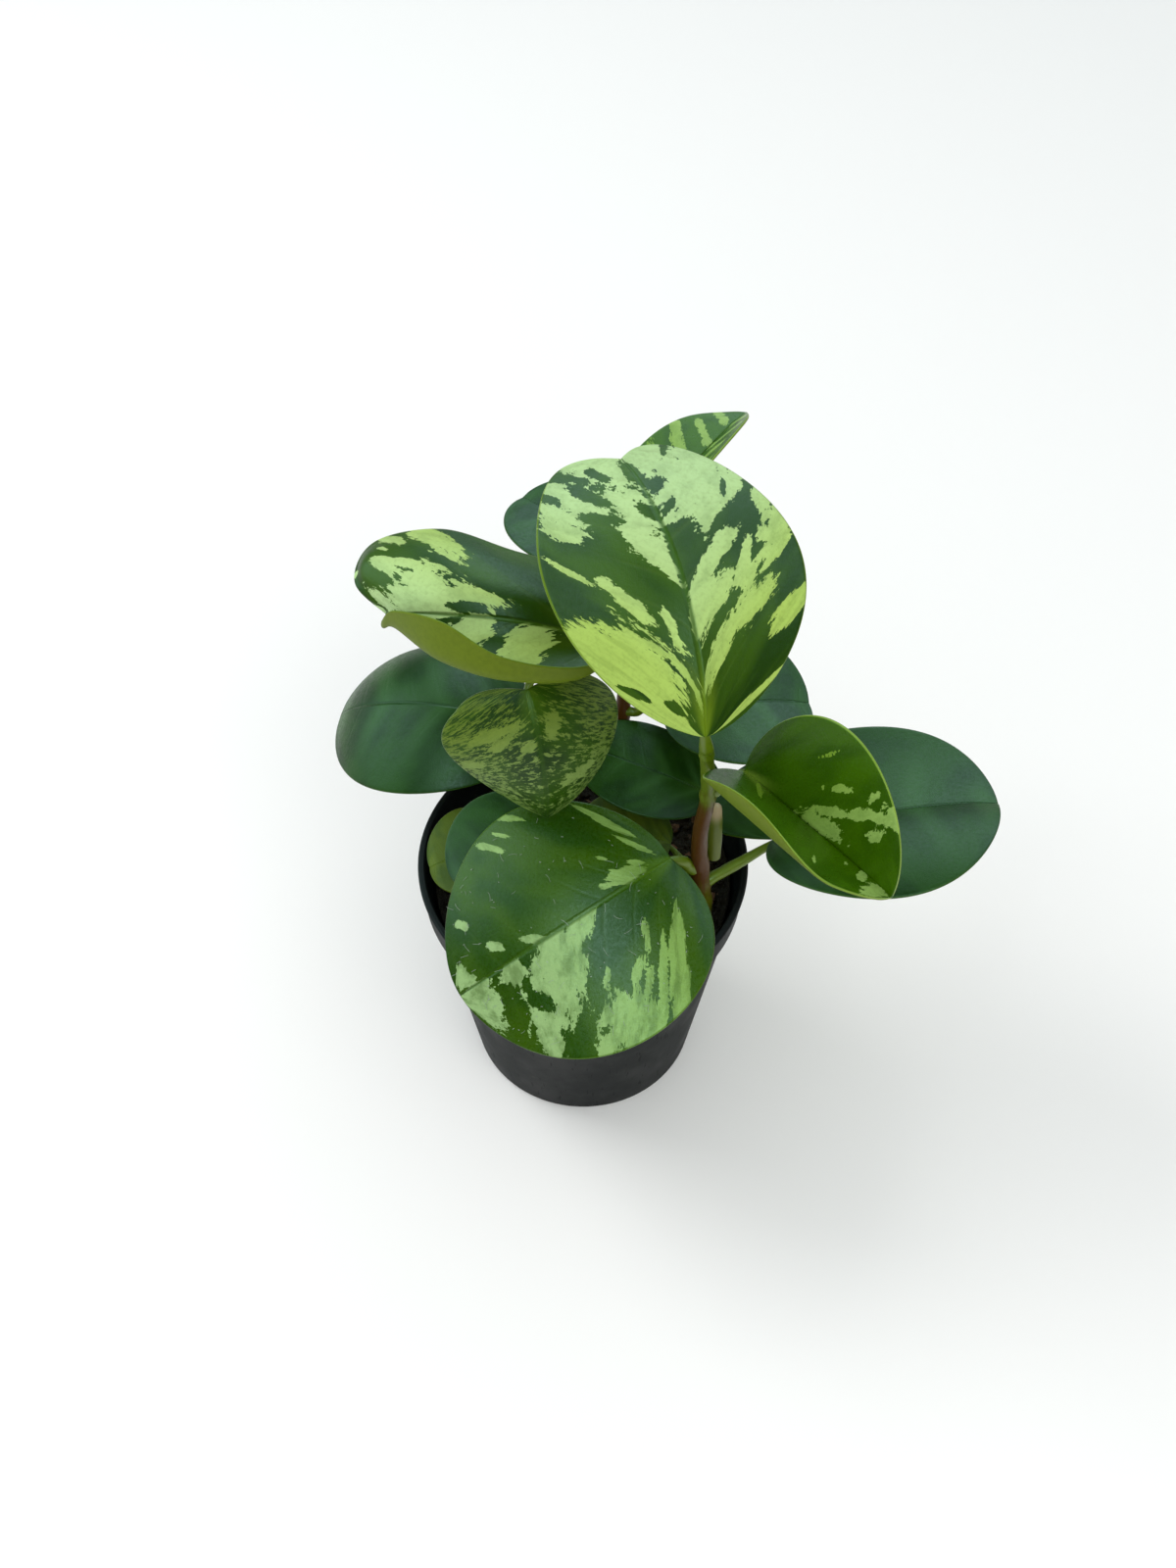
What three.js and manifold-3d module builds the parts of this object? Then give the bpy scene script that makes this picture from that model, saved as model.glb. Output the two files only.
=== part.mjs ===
// A small marbled peperomia in a black nursery pot.
// Millimetres, +Z up. The origin is the centre of the pot's flat underside.
// The side that looks along -Y is the side seen in the photograph.
import * as THREE from "three";
import { mergeVertices } from "three/addons/utils/BufferGeometryUtils.js";
import Module from "manifold-3d";

const wasm = await Module();
wasm.setup();

const rad = Math.PI / 180;

// Pot
const POT_HEIGHT = 90;
const POT_BASE_RADIUS = 36;
const POT_BODY_TOP_RADIUS = 46.6;
const POT_BAND_BOTTOM = 78;
const POT_BAND_RADIUS = 48.4;
const POT_LIP_RADIUS = 49.6;
const POT_LIP_INNER_RADIUS = 47.5;
const POT_WALL = 1.2;
const POT_FLOOR = 1.8;
const DRAIN_HOLE_RADIUS = 3.5;
const DRAIN_HOLE_CIRCLE = 28;
const DRAIN_HOLES = 8;

// Soil
const SOIL_TOP = 80;
const SOIL_GAP = 0.42;

// Plant
const STEM_FOOT = 60;
const HOLE_GAP = 0.35;
const JOIN_GAP = 0.45;
const BLADE_MIDDLE = 1.5;
const BLADE_EDGE = 0.8;

// Stems: points of the centre line from the foot in the soil to the top, and the thickness.
const STEMS = {
  stem_right: {
    path: [[34, -14, 60], [36, -15, 80], [34, -14, 102], [33, -15, 122], [34, -18, 143], [32, -24, 168]],
    radius: [2.7, 2.6, 2.6, 2.3, 2.2, 1.9],
  },
  stem_left: {
    path: [[-4, 10, 60], [-5, 11, 80], [-7, 14, 100], [-8, 17, 122], [-8, 19, 144]],
    radius: [2.7, 2.6, 2.5, 2.3, 2.0],
  },
  stem_back: {
    path: [[8, 25, 60], [9, 26, 80], [11, 32, 106], [13, 39, 130], [14, 44, 150]],
    radius: [2.7, 2.6, 2.4, 2.2, 1.9],
  },
};

// Leaves: base of the blade, heading, rise, roll, length, width and how the blade is bent.
// m sets where the blade is widest, lobe how far each side reaches back past the base,
// notch how far the sides pass the tip, bend the droop from base to tip, fold the angle of
// each side at the midrib, curl how much more it turns up to the edge. Left side first.
// stem and height say where the stalk starts, lift how much it arches, stalk its radius.
const LEAVES = {
  leaf_crown: {
    base: [31, -27, 178], heading: 93, rise: 54, roll: 24, length: 83, width: 72, m: 1.08,
    lobe: [-0.05, -0.05], notch: 0.4, bend: 65, fold: [-22, 1], curl: [30, 3],
    stem: "stem_right", height: 168, onTop: true, lift: 0, stalk: 1.9, across: 10, along: 14,
  },
  leaf_front: {
    base: [25, -18, 114], heading: 218, rise: 2, roll: -26, length: 74, width: 78, m: 0.94,
    lobe: [0.19, 0.01], notch: 0, bend: 52, fold: [-4, -4], curl: [13, -27],
    stem: "stem_right", height: 102, lift: 1, stalk: 1.8, across: 8, along: 13,
  },
  leaf_middle: {
    base: [-15, 5, 160], heading: 288, rise: -36, roll: 1, length: 44, width: 62, m: 0.8,
    lobe: [0.21, 0.25], notch: 0, bend: 67, fold: [-14, -40], curl: [-32, 0],
    stem: "stem_left", height: 140, lift: 10, stalk: 1.6, across: 10, along: 10,
  },
  leaf_right: {
    base: [43, -18, 153], heading: 306, rise: 9, roll: 24, length: 55, width: 63, m: 0.9,
    lobe: [-0.05, 0.08], notch: 0, bend: 13, fold: [50, 60], curl: [-6, 65], hinge: [0, 0.59],
    stem: "stem_right", height: 143, lift: 1, stalk: 1.7, across: 12, along: 10,
  },
  leaf_far_right: {
    base: [56, -3, 103], heading: 9, rise: 17, roll: -32, length: 66, width: 71, m: 1.25,
    lobe: [1.15, 0.4], notch: 0, bend: 18, fold: [19, 0], curl: [18, -40],
    stem: "stem_right", height: 95, lift: -1, stalk: 1.7, across: 8, along: 12,
  },
  leaf_far_left: {
    base: [-21, 37, 110], heading: 178, rise: 22, roll: -22, length: 67, width: 57, m: 1.13,
    lobe: [0.33, 0.36], notch: 0.04, bend: 83, fold: [4, -8], curl: [-21, -37],
    stem: "stem_left", height: 104, lift: 3, stalk: 1.6, across: 8, along: 12,
  },
  leaf_back_right: {
    base: [24, 29, 122], heading: 6, rise: 12, roll: 0, length: 44, width: 54, m: 1.2,
    lobe: [0.1, 0.15], notch: 0.05, bend: 25, fold: [6, 6], curl: [5, 5],
    stem: "stem_back", height: 116, lift: 2, stalk: 1.4, across: 6, along: 10,
  },
  leaf_back_top: {
    base: [14, 58, 164], heading: 54, rise: 16, roll: 0, length: 61, width: 34, m: 0.95,
    lobe: [0.1, 0.1], notch: -0.2, bend: 18, fold: [5, 50], curl: [5, 5],
    stem: "stem_back", height: 150, onTop: true, lift: 0, stalk: 1.4, across: 6, along: 10,
  },
  leaf_back_left: {
    base: [13, 72, 140], heading: 137, rise: 12, roll: 0, length: 44, width: 40, m: 1.2,
    lobe: [0.15, 0.15], notch: 0.05, bend: 20, fold: [6, 6], curl: [5, 5],
    stem: "stem_back", height: 131, lift: 2, stalk: 1.4, across: 6, along: 10,
  },
  leaf_low_left: {
    base: [-20, 2, 95], heading: 194, rise: -2, roll: 0, length: 27, width: 32, m: 1.2,
    lobe: [0.15, 0.15], notch: 0.05, bend: 15, fold: [6, 6], curl: [5, 5],
    stem: "stem_left", height: 88, lift: 2, stalk: 1.2, across: 6, along: 8,
  },
  leaf_low_front: {
    base: [-4, 0, 107], heading: 205, rise: -2, roll: 0, length: 38, width: 40, m: 1.2,
    lobe: [0.15, 0.15], notch: 0.05, bend: 20, fold: [6, 6], curl: [5, 5],
    stem: "stem_left", height: 95, lift: 3, stalk: 1.3, across: 6, along: 9,
  },
  leaf_low_middle: {
    base: [26, -1, 98], heading: 168, rise: 6, roll: 0, length: 29, width: 30, m: 1.2,
    lobe: [0.15, 0.15], notch: 0.05, bend: 15, fold: [6, 6], curl: [5, 5],
    stem: "stem_right", height: 89, lift: 2, stalk: 1.2, across: 6, along: 8,
  },
  leaf_middle_back: {
    base: [37, 11, 107], heading: 166, rise: 20, roll: -23, length: 42, width: 30, m: 1.1,
    lobe: [0.2, 0.35], notch: 0.05, bend: 20, fold: [6, -7], curl: [5, -12],
    stem: "stem_right", height: 106, lift: 2, stalk: 1.3, across: 6, along: 9,
  },
};

// The upper left leaf is rolled up along its near edge, so it is laid over a net of points:
// one row per station from base to tip, each row from the far edge over the midrib to the near.
const ROLLED_LEAF = {
  net: [
    [[13, 27, 156]],
    [[1, 43, 165], [-1, 35, 167], [-2, 26, 168], [-2, 17, 162], [-1, 7, 163], [0, 6, 168]],
    [[-21, 47, 172], [-20, 36, 175], [-20, 25, 175], [-20, 15, 168], [-21, 2, 168], [-21, 3, 175]],
    [[-40, 54, 173], [-39, 41, 176], [-37, 27, 175], [-37, 18, 168], [-38, 8, 169], [-37, 11, 180]],
    [[-59, 53, 169], [-59, 42, 171], [-50, 29, 169], [-50, 26, 166], [-51, 21, 168], [-50, 22, 176]],
    [[-64, 40, 166], [-60, 36, 166], [-54, 31, 165], [-54, 28, 164], [-55, 25, 164], [-53, 25, 168]],
    [[-54, 30, 163]],
  ],
  stem: "stem_back", height: 142, lift: 1, stalk: 1.8, across: 13, along: 14,
};

// Vectors
function add(a, b, k = 1) {
  return [a[0] + b[0] * k, a[1] + b[1] * k, a[2] + b[2] * k];
}

function unit(a) {
  const l = Math.hypot(...a) || 1;
  return [a[0] / l, a[1] / l, a[2] / l];
}

function cross(a, b) {
  return [a[1] * b[2] - a[2] * b[1], a[2] * b[0] - a[0] * b[2], a[0] * b[1] - a[1] * b[0]];
}

function dot(a, b) {
  return a[0] * b[0] + a[1] * b[1] + a[2] * b[2];
}

// A smooth curve through a list of points, t from 0 to 1.
function through(points, t) {
  const n = points.length - 1;
  const i = Math.min(Math.floor(t * n), n - 1);
  const f = t * n - i;
  const b = points[i];
  const c = points[i + 1];
  const a = i > 0 ? points[i - 1] : add(b, add(b, c, -1));
  const d = i + 2 <= n ? points[i + 2] : add(c, add(c, b, -1));
  return b.map((v, k) => {
    const one = c[k] - a[k];
    const two = 2 * a[k] - 5 * b[k] + 4 * c[k] - d[k];
    const three = 3 * b[k] - a[k] - 3 * c[k] + d[k];
    return 0.5 * (2 * v + one * f + two * f * f + three * f * f * f);
  });
}

// Solids
function solid(points, faces) {
  const g = new THREE.BufferGeometry();
  g.setAttribute("position", new THREE.Float32BufferAttribute(points.flat(), 3));
  g.setIndex(faces.flat());
  return manifoldOf(g);
}

function manifoldOf(geometry) {
  const g0 = geometry.clone();
  g0.deleteAttribute("normal");
  g0.deleteAttribute("uv");
  const g = mergeVertices(g0, 1e-4);
  const vertProperties = Float32Array.from(g.attributes.position.array);
  const triVerts = Uint32Array.from(g.index.array);
  return new wasm.Manifold(new wasm.Mesh({ numProp: 3, vertProperties, triVerts }));
}

function meshOf(name, manifold, colour) {
  const m = manifold.getMesh();
  const g = new THREE.BufferGeometry();
  g.setAttribute("position", new THREE.Float32BufferAttribute(m.vertProperties, 3));
  g.setIndex(new THREE.Uint32BufferAttribute(m.triVerts, 1));
  g.computeVertexNormals();
  const mesh = new THREE.Mesh(g, new THREE.MeshStandardMaterial({ color: colour, roughness: 0.6 }));
  mesh.name = name;
  return mesh;
}

// A round bar along a line of points, its radius given at each point, with flat or round ends.
function bar(path, radii, sides = 10, roundTop = false) {
  const pts = path.map((p) => p);
  const rr = radii.slice();
  if (roundTop) {
    const end = pts[pts.length - 1];
    const dir = unit(add(end, pts[pts.length - 2], -1));
    const r = rr[rr.length - 1];
    pts.push(add(end, dir, r * 0.6));
    rr.push(r * 0.8);
    pts.push(add(end, dir, r * 0.95));
    rr.push(r * 0.35);
  }
  const n = pts.length;
  const points = [];
  const faces = [];
  let side = null;
  for (let i = 0; i < n; i++) {
    const t = unit(add(pts[Math.min(i + 1, n - 1)], pts[Math.max(i - 1, 0)], -1));
    if (!side) side = Math.abs(t[2]) < 0.9 ? [0, 0, 1] : [1, 0, 0];
    side = unit(add(side, t, -dot(side, t)));
    const other = cross(t, side);
    for (let k = 0; k < sides; k++) {
      const a = (2 * Math.PI * k) / sides;
      points.push(add(add(pts[i], side, rr[i] * Math.cos(a)), other, rr[i] * Math.sin(a)));
    }
  }
  for (let i = 0; i < n - 1; i++) {
    for (let k = 0; k < sides; k++) {
      const a = i * sides + k;
      const b = i * sides + ((k + 1) % sides);
      faces.push([a, b, b + sides], [a, b + sides, a + sides]);
    }
  }
  const first = points.length;
  points.push(pts[0], pts[n - 1]);
  for (let k = 0; k < sides; k++) {
    const l = (k + 1) % sides;
    faces.push([first, l, k], [first + 1, (n - 1) * sides + k, (n - 1) * sides + l]);
  }
  return solid(points, faces);
}

// The middle surface of a leaf blade: s from base to tip, u from the right edge to the left.
function bladePoint(leaf, s, u) {
  const left = u >= 0;
  const pick = (pair) => (left ? pair[0] : pair[1]);
  const half = leaf.width / 2;
  const q = Math.abs(u) * Math.sqrt(Math.max(Math.sin(Math.PI * s ** leaf.m), 0));
  const x = leaf.length * (s - pick(leaf.lobe) * q * (1 - s) ** 2 + leaf.notch * q * s ** 8);
  const fold = pick(leaf.fold) * rad;
  const curl = (pick(leaf.curl) || 0.01) * rad;
  const hinge = pick(leaf.hinge || [0, 0]);
  const flat = Math.min(q, hinge);
  const turn = fold + (curl * Math.max(q - hinge, 0)) / (1 - hinge);
  const r = (half * (1 - hinge)) / curl;
  const across = half * flat * Math.cos(fold) + r * (Math.sin(turn) - Math.sin(fold));
  const up = half * flat * Math.sin(fold) + r * (Math.cos(fold) - Math.cos(turn));
  const k = (leaf.bend * rad) / leaf.length;
  const b = Math.max(x, 0) * k;
  const ahead = (x < 0 ? x : Math.sin(b) / k) + up * Math.sin(b);
  const above = (Math.cos(b) - 1) / k + up * Math.cos(b);
  const h = leaf.heading * rad;
  const e = leaf.rise * rad;
  const w = leaf.roll * rad;
  const e1 = [Math.cos(e) * Math.cos(h), Math.cos(e) * Math.sin(h), Math.sin(e)];
  const flatSide = [-Math.sin(h), Math.cos(h), 0];
  const e2 = add(flatSide.map((v) => v * Math.cos(w)), cross(e1, flatSide), Math.sin(w));
  const up3 = cross(e1, e2);
  return add(add(add(leaf.base, e1, ahead), e2, left ? across : -across), up3, above);
}

function netPoint(leaf, s, u) {
  const rows = leaf.net.map((row) => {
    const full = row.length > 1 ? row : [0, 1, 2, 3, 4, 5].map(() => row[0]);
    return through(full, u / 2 + 0.5);
  });
  return through(rows, s);
}

// A blade as one closed solid: both faces share the same triangles, the edge is thinner.
function blade(leaf) {
  const at = leaf.net ? netPoint : bladePoint;
  const rows = leaf.along;
  const cols = leaf.across;
  const station = (i) => 0.5 - 0.5 * Math.cos((Math.PI * i) / rows);
  const points = [];
  const index = [[], []];
  for (let i = 0; i <= rows; i++) {
    const s = station(i);
    const pole = i === 0 || i === rows;
    index[0].push([]);
    index[1].push([]);
    for (let j = 0; j <= (pole ? 0 : cols); j++) {
      const u = pole ? 0 : -1 + (2 * j) / cols;
      const near = Math.min(Math.max(s, 0.02), 0.98);
      const p = at(leaf, s, u);
      const ds = add(at(leaf, near + 0.01, u * 0.98), at(leaf, near - 0.01, u * 0.98), -1);
      const du = add(at(leaf, near, u * 0.96 + 0.02), at(leaf, near, u * 0.96 - 0.02), -1);
      const n = unit(cross(ds, du));
      const edge = Math.abs(u) ** 2;
      const ends = Math.min(1, 6 * s * (1 - s) + 0.4);
      const thick = (BLADE_MIDDLE + (BLADE_EDGE - BLADE_MIDDLE) * edge) * Math.max(ends, 0.55);
      const t = Math.max(thick, BLADE_EDGE) / 2;
      index[0][i].push(points.push(add(p, n, t)) - 1);
      index[1][i].push(points.push(add(p, n, -t)) - 1);
    }
  }
  const faces = [];
  const put = (face, a, b, c) => faces.push(face === 0 ? [a, b, c] : [a, c, b]);
  for (let face = 0; face < 2; face++) {
    const id = index[face];
    for (let j = 0; j < cols; j++) {
      put(face, id[0][0], id[1][j], id[1][j + 1]);
      put(face, id[rows][0], id[rows - 1][j + 1], id[rows - 1][j]);
      for (let i = 1; i < rows - 1; i++) {
        put(face, id[i][j], id[i + 1][j], id[i + 1][j + 1]);
        put(face, id[i][j], id[i + 1][j + 1], id[i][j + 1]);
      }
    }
  }
  const loop = [0, 1].map((face) => {
    const id = index[face];
    const right = id.slice(1, rows).map((row) => row[0]);
    const left = id.slice(1, rows).map((row) => row[cols]).reverse();
    return [id[0][0], ...right, id[rows][0], ...left];
  });
  for (let k = 0; k < loop[0].length; k++) {
    const l = (k + 1) % loop[0].length;
    const [a, b, c, d] = [loop[0][k], loop[0][l], loop[1][l], loop[1][k]];
    faces.push([a, c, b], [a, d, c]);
  }
  return solid(points, faces);
}

// The place on a stem's centre line at a height, with its direction and radius there.
function onStem(stem, height) {
  const steps = 120;
  let i = 0;
  while (i < steps - 1 && through(stem.path, (i + 1) / steps)[2] < height) i++;
  const point = through(stem.path, (i + 1) / steps);
  const along = unit(add(point, through(stem.path, i / steps), -1));
  const radius = through(stem.radius.map((r) => [r, 0, 0]), (i + 1) / steps)[0];
  return { point, along, radius };
}

// The stalk of a leaf: from just beside the stem, in a low arch, and on under the midrib.
function stalk(leaf) {
  const at = leaf.net ? netPoint : bladePoint;
  const { point, along, radius } = onStem(STEMS[leaf.stem], leaf.height);
  const base = at(leaf, 0, 0);
  const aim = unit(add(base, point, -1));
  const cosine = Math.abs(dot(aim, along));
  const sine = Math.sqrt(1 - cosine * cosine);
  const beside = (radius + JOIN_GAP + 1.1 * leaf.stalk * cosine) / Math.max(sine, 0.2);
  const start = leaf.onTop ? add(point, along, 2 * JOIN_GAP) : add(point, aim, beside);
  const first = leaf.onTop ? add(start, along, 3) : add(start, aim, 3);
  const middle = add(add(start, base, 1).map((v) => v / 2), [0, 0, leaf.lift]);
  const under = (s) => {
    const p = at(leaf, s, 0);
    const n = unit(cross(add(at(leaf, s + 0.02, 0), p, -1), add(at(leaf, s, 0.05), p, -1)));
    return add(p, n, -0.5);
  };
  const knots = [start, first, middle, under(0.02), under(0.14), under(0.3)];
  const radii = [1.1, 1.0, 0.95, 0.85, 0.6, 0.42];
  const path = [];
  const rr = [];
  for (let i = 0; i <= 10; i++) {
    path.push(through(knots, i / 10));
    rr.push(leaf.stalk * through(radii.map((v) => [v, 0, 0]), i / 10)[0]);
  }
  return bar(path, rr, 8);
}

function leafSolid(leaf) {
  return blade(leaf).add(stalk(leaf));
}

// Pot: turned walls with a deeper band under the lip, a flat floor and drain holes.
function pot() {
  const profile = [
    [0, 0],
    [POT_BASE_RADIUS - 0.8, 0],
    [POT_BASE_RADIUS, 0.8],
    [POT_BODY_TOP_RADIUS, POT_BAND_BOTTOM],
    [POT_BAND_RADIUS, POT_BAND_BOTTOM + 0.6],
    [POT_BAND_RADIUS + 0.3, POT_HEIGHT - 2],
    [POT_LIP_RADIUS, POT_HEIGHT - 1.4],
    [POT_LIP_RADIUS, POT_HEIGHT - 0.5],
    [POT_LIP_RADIUS - 0.6, POT_HEIGHT],
    [POT_LIP_INNER_RADIUS + 0.4, POT_HEIGHT],
    [POT_LIP_INNER_RADIUS, POT_HEIGHT - 0.6],
    [POT_BAND_RADIUS - POT_WALL - 0.4, POT_BAND_BOTTOM + 3],
    [POT_BODY_TOP_RADIUS - POT_WALL, POT_BAND_BOTTOM - 0.4],
    [POT_BASE_RADIUS - POT_WALL + 0.3, POT_FLOOR],
    [0, POT_FLOOR],
  ];
  const lathe = new THREE.LatheGeometry(profile.map(([r, z]) => new THREE.Vector2(r, z)), 40);
  lathe.rotateX(Math.PI / 2);
  let body = manifoldOf(lathe);
  if (body.volume() < 0) throw new Error("pot is inside out");
  for (let i = 0; i < DRAIN_HOLES; i++) {
    const a = (2 * Math.PI * (i + 0.5)) / DRAIN_HOLES;
    const hole = wasm.Manifold.cylinder(POT_FLOOR + 4, DRAIN_HOLE_RADIUS, DRAIN_HOLE_RADIUS, 10);
    const x = DRAIN_HOLE_CIRCLE * Math.cos(a);
    const y = DRAIN_HOLE_CIRCLE * Math.sin(a);
    body = body.subtract(hole.translate([x, y, -2]));
  }
  return body;
}

// Soil: fills the pot to just below the band's top, lumpy on top, with a plain hole per stem.
function soil() {
  const inner = (z) => {
    const k = (z - POT_FLOOR) / (POT_BAND_BOTTOM - 0.4 - POT_FLOOR);
    const low = POT_BASE_RADIUS - POT_WALL + 0.3;
    const high = POT_BODY_TOP_RADIUS - POT_WALL;
    return low + (high - low) * k - SOIL_GAP;
  };
  const sides = 32;
  const rings = [1, 0.97, 0.86, 0.72, 0.56, 0.38, 0.2];
  const lump = (x, y) =>
    0.8 * Math.sin(x * 0.21 + 1) * Math.cos(y * 0.17) + 0.5 * Math.sin(x * 0.43 + y * 0.37 + 2);
  const edge = inner(POT_BAND_BOTTOM - 1.6);
  const points = [];
  const faces = [];
  const ring = (r, z) => {
    const first = points.length;
    for (let k = 0; k < sides; k++) {
      const a = (2 * Math.PI * k) / sides;
      const x = r * Math.cos(a);
      const y = r * Math.sin(a);
      points.push([x, y, z(x, y)]);
    }
    return first;
  };
  const loops = [ring(inner(POT_FLOOR + SOIL_GAP), () => POT_FLOOR + SOIL_GAP)];
  loops.push(ring(edge, () => POT_BAND_BOTTOM - 1.6));
  loops.push(ring(edge, () => POT_BAND_BOTTOM + 1.4));
  for (const r of rings.slice(1)) {
    const rise = SOIL_TOP - 1.8 * r * r;
    loops.push(ring(edge * r, (x, y) => rise + lump(x, y)));
  }
  for (let i = 0; i + 1 < loops.length; i++) {
    for (let k = 0; k < sides; k++) {
      const l = (k + 1) % sides;
      const [a, b] = [loops[i], loops[i + 1]];
      faces.push([a + k, a + l, b + l], [a + k, b + l, b + k]);
    }
  }
  const low = points.push([0, 0, POT_FLOOR + SOIL_GAP]) - 1;
  const high = points.push([0, 0, SOIL_TOP + lump(0, 0)]) - 1;
  for (let k = 0; k < sides; k++) {
    const l = (k + 1) % sides;
    const last = loops[loops.length - 1];
    faces.push([low, loops[0] + l, loops[0] + k], [high, last + k, last + l]);
  }
  let body = solid(points, faces);
  for (const stem of Object.values(STEMS)) {
    const line = [0, 1, 2, 3, 4].map((i) => through(stem.path, i / 12));
    const down = add(line[0], unit(add(line[0], line[1], -1)), 1);
    const r = stem.radius[0] + HOLE_GAP + 0.1;
    body = body.subtract(bar([down, ...line], [r, r, r, r, r, r], 12));
  }
  return body;
}

function stemSolid(stem) {
  const path = [];
  const radii = [];
  const steps = 12;
  for (let i = 0; i <= steps; i++) {
    path.push(through(stem.path, i / steps));
    radii.push(through(stem.radius.map((r) => [r, 0, 0]), i / steps)[0]);
  }
  return bar(path, radii, 10);
}

// Assembly
const group = new THREE.Group();
group.name = "potted_marble_peperomia";
group.add(meshOf("pot", pot(), "#17191a"));
group.add(meshOf("soil", soil(), "#2a2019"));
for (const [name, stem] of Object.entries(STEMS)) {
  group.add(meshOf(name, stemSolid(stem), "#6d5a3a"));
}
for (const [name, leaf] of Object.entries(LEAVES)) {
  group.add(meshOf(name, leafSolid(leaf), "#3f7a35"));
}
group.add(meshOf("leaf_upper_left", leafSolid(ROLLED_LEAF), "#4f8a3f"));

// A short young shoot with a rounded end beside the right stem.
const SHOOT = [[38, -10, 104], [38, -9, 109], [38, -7, 115], [38, -5, 120]];
group.add(meshOf("side_shoot", bar(SHOOT, [2.0, 2.1, 2.1, 1.8], 10, true), "#7c9a4a"));

export default group;
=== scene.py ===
# A small marbled peperomia in a black nursery pot, in metres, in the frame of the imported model.
import bpy
import math
import random
from mathutils import Euler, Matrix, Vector, noise


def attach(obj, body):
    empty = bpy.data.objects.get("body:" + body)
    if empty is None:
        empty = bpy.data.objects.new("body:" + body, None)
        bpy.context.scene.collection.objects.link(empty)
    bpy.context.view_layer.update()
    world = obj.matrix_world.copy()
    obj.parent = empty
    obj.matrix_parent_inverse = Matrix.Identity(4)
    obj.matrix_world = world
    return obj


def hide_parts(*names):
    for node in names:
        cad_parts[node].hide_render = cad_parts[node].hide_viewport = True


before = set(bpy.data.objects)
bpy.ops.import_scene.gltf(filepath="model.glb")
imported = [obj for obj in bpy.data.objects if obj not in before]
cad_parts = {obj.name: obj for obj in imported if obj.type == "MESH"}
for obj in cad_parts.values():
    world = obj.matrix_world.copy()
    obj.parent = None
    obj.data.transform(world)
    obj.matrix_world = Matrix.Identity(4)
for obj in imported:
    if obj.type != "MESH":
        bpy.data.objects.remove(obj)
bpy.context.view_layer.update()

# Nursery pot.
# The real pot is thin black polypropylene, moulded in one piece: a tapered wall, a deeper band
# under a rolled lip, a flat floor with drain holes, and a satin skin with fine scuffs.
MM = 0.001
NEAR = 0.1 * MM
POT_SIDES = 144
POT_WALL = [
    (0.0352, 0.0), (0.0360, 0.0008), (0.0466, 0.0780), (0.0484, 0.0786), (0.0487, 0.0880),
    (0.0496, 0.0886), (0.0496, 0.0895), (0.0490, 0.0900), (0.0479, 0.0900), (0.0475, 0.0894),
    (0.0468, 0.0810), (0.0454, 0.0776), (0.0351, 0.0018),
]
POT_EDGE_SOFTNESS = 0.00022
DRAIN_HOLES = 8
DRAIN_HOLE_RADIUS = 0.0035
DRAIN_HOLE_RING = 0.028


def deselect():
    if bpy.context.object and bpy.context.object.mode != "OBJECT":
        bpy.ops.object.mode_set(mode="OBJECT")
    bpy.ops.object.select_all(action="DESELECT")


def name_piece(name):
    piece = bpy.context.object
    piece.name = name
    piece.data.name = name
    bpy.ops.object.transform_apply(location=True, rotation=True, scale=True)
    return piece


def turn_up(rings, sides):
    """A circle extruded from ring to ring, as a pot is drawn up from its foot."""
    deselect()
    foot_radius, foot_height = rings[0]
    bpy.ops.mesh.primitive_circle_add(vertices=sides, radius=foot_radius, location=(0, 0, foot_height))
    bpy.ops.object.mode_set(mode="EDIT")
    bpy.ops.mesh.select_all(action="SELECT")
    for (r0, z0), (r1, z1) in zip(rings, rings[1:]):
        bpy.ops.mesh.extrude_region_move(TRANSFORM_OT_translate={"value": (0, 0, z1 - z0)})
        bpy.ops.transform.resize(value=(r1 / r0, r1 / r0, 1), center_override=(0, 0, z1))


def close_end():
    """Closes the selected open ring with a rounder net and a pole in the middle."""
    for size in (0.8, 0.55, 0.3):
        bpy.ops.mesh.extrude_region_move(TRANSFORM_OT_translate={"value": (0, 0, 0)})
        bpy.ops.transform.resize(value=(size, size, 1), center_override=(0, 0, 0))
    bpy.ops.mesh.merge(type="CENTER")


def select_edges(piece, wanted):
    """Selects the vertices that wanted(place) names, and the edges between them."""
    for v in piece.data.vertices:
        v.select = wanted(v.co)
    for e in piece.data.edges:
        e.select = all(piece.data.vertices[i].select for i in e.vertices)


def take(piece):
    deselect()
    piece.select_set(True)
    bpy.context.view_layer.objects.active = piece


def turn_faces_out(piece):
    take(piece)
    bpy.ops.object.mode_set(mode="EDIT")
    bpy.ops.mesh.select_all(action="SELECT")
    bpy.ops.mesh.normals_make_consistent(inside=False)
    bpy.ops.object.mode_set(mode="OBJECT")


def apply_all(piece):
    take(piece)
    for modifier in list(piece.modifiers):
        bpy.ops.object.modifier_apply(modifier=modifier.name)


def smooth_by_angle(piece, degrees):
    take(piece)
    bpy.ops.object.shade_smooth_by_angle(angle=math.radians(degrees))


def new_material(name):
    material = bpy.data.materials.new(name)
    material.use_nodes = True
    tree = material.node_tree
    return material, tree, tree.nodes["Principled BSDF"]


def object_place(tree):
    return tree.nodes.new("ShaderNodeTexCoord").outputs["Object"]


def stretched(tree, vector, scale):
    node = tree.nodes.new("ShaderNodeMapping")
    node.inputs["Scale"].default_value = scale
    tree.links.new(vector, node.inputs["Vector"])
    return node.outputs["Vector"]


def math_node(tree, operation, a, b=None):
    node = tree.nodes.new("ShaderNodeMath")
    node.operation = operation
    for i, value in enumerate((a, b)):
        if isinstance(value, (int, float)):
            node.inputs[i].default_value = value
        elif value is not None:
            tree.links.new(value, node.inputs[i])
    return node.outputs[0]


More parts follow.
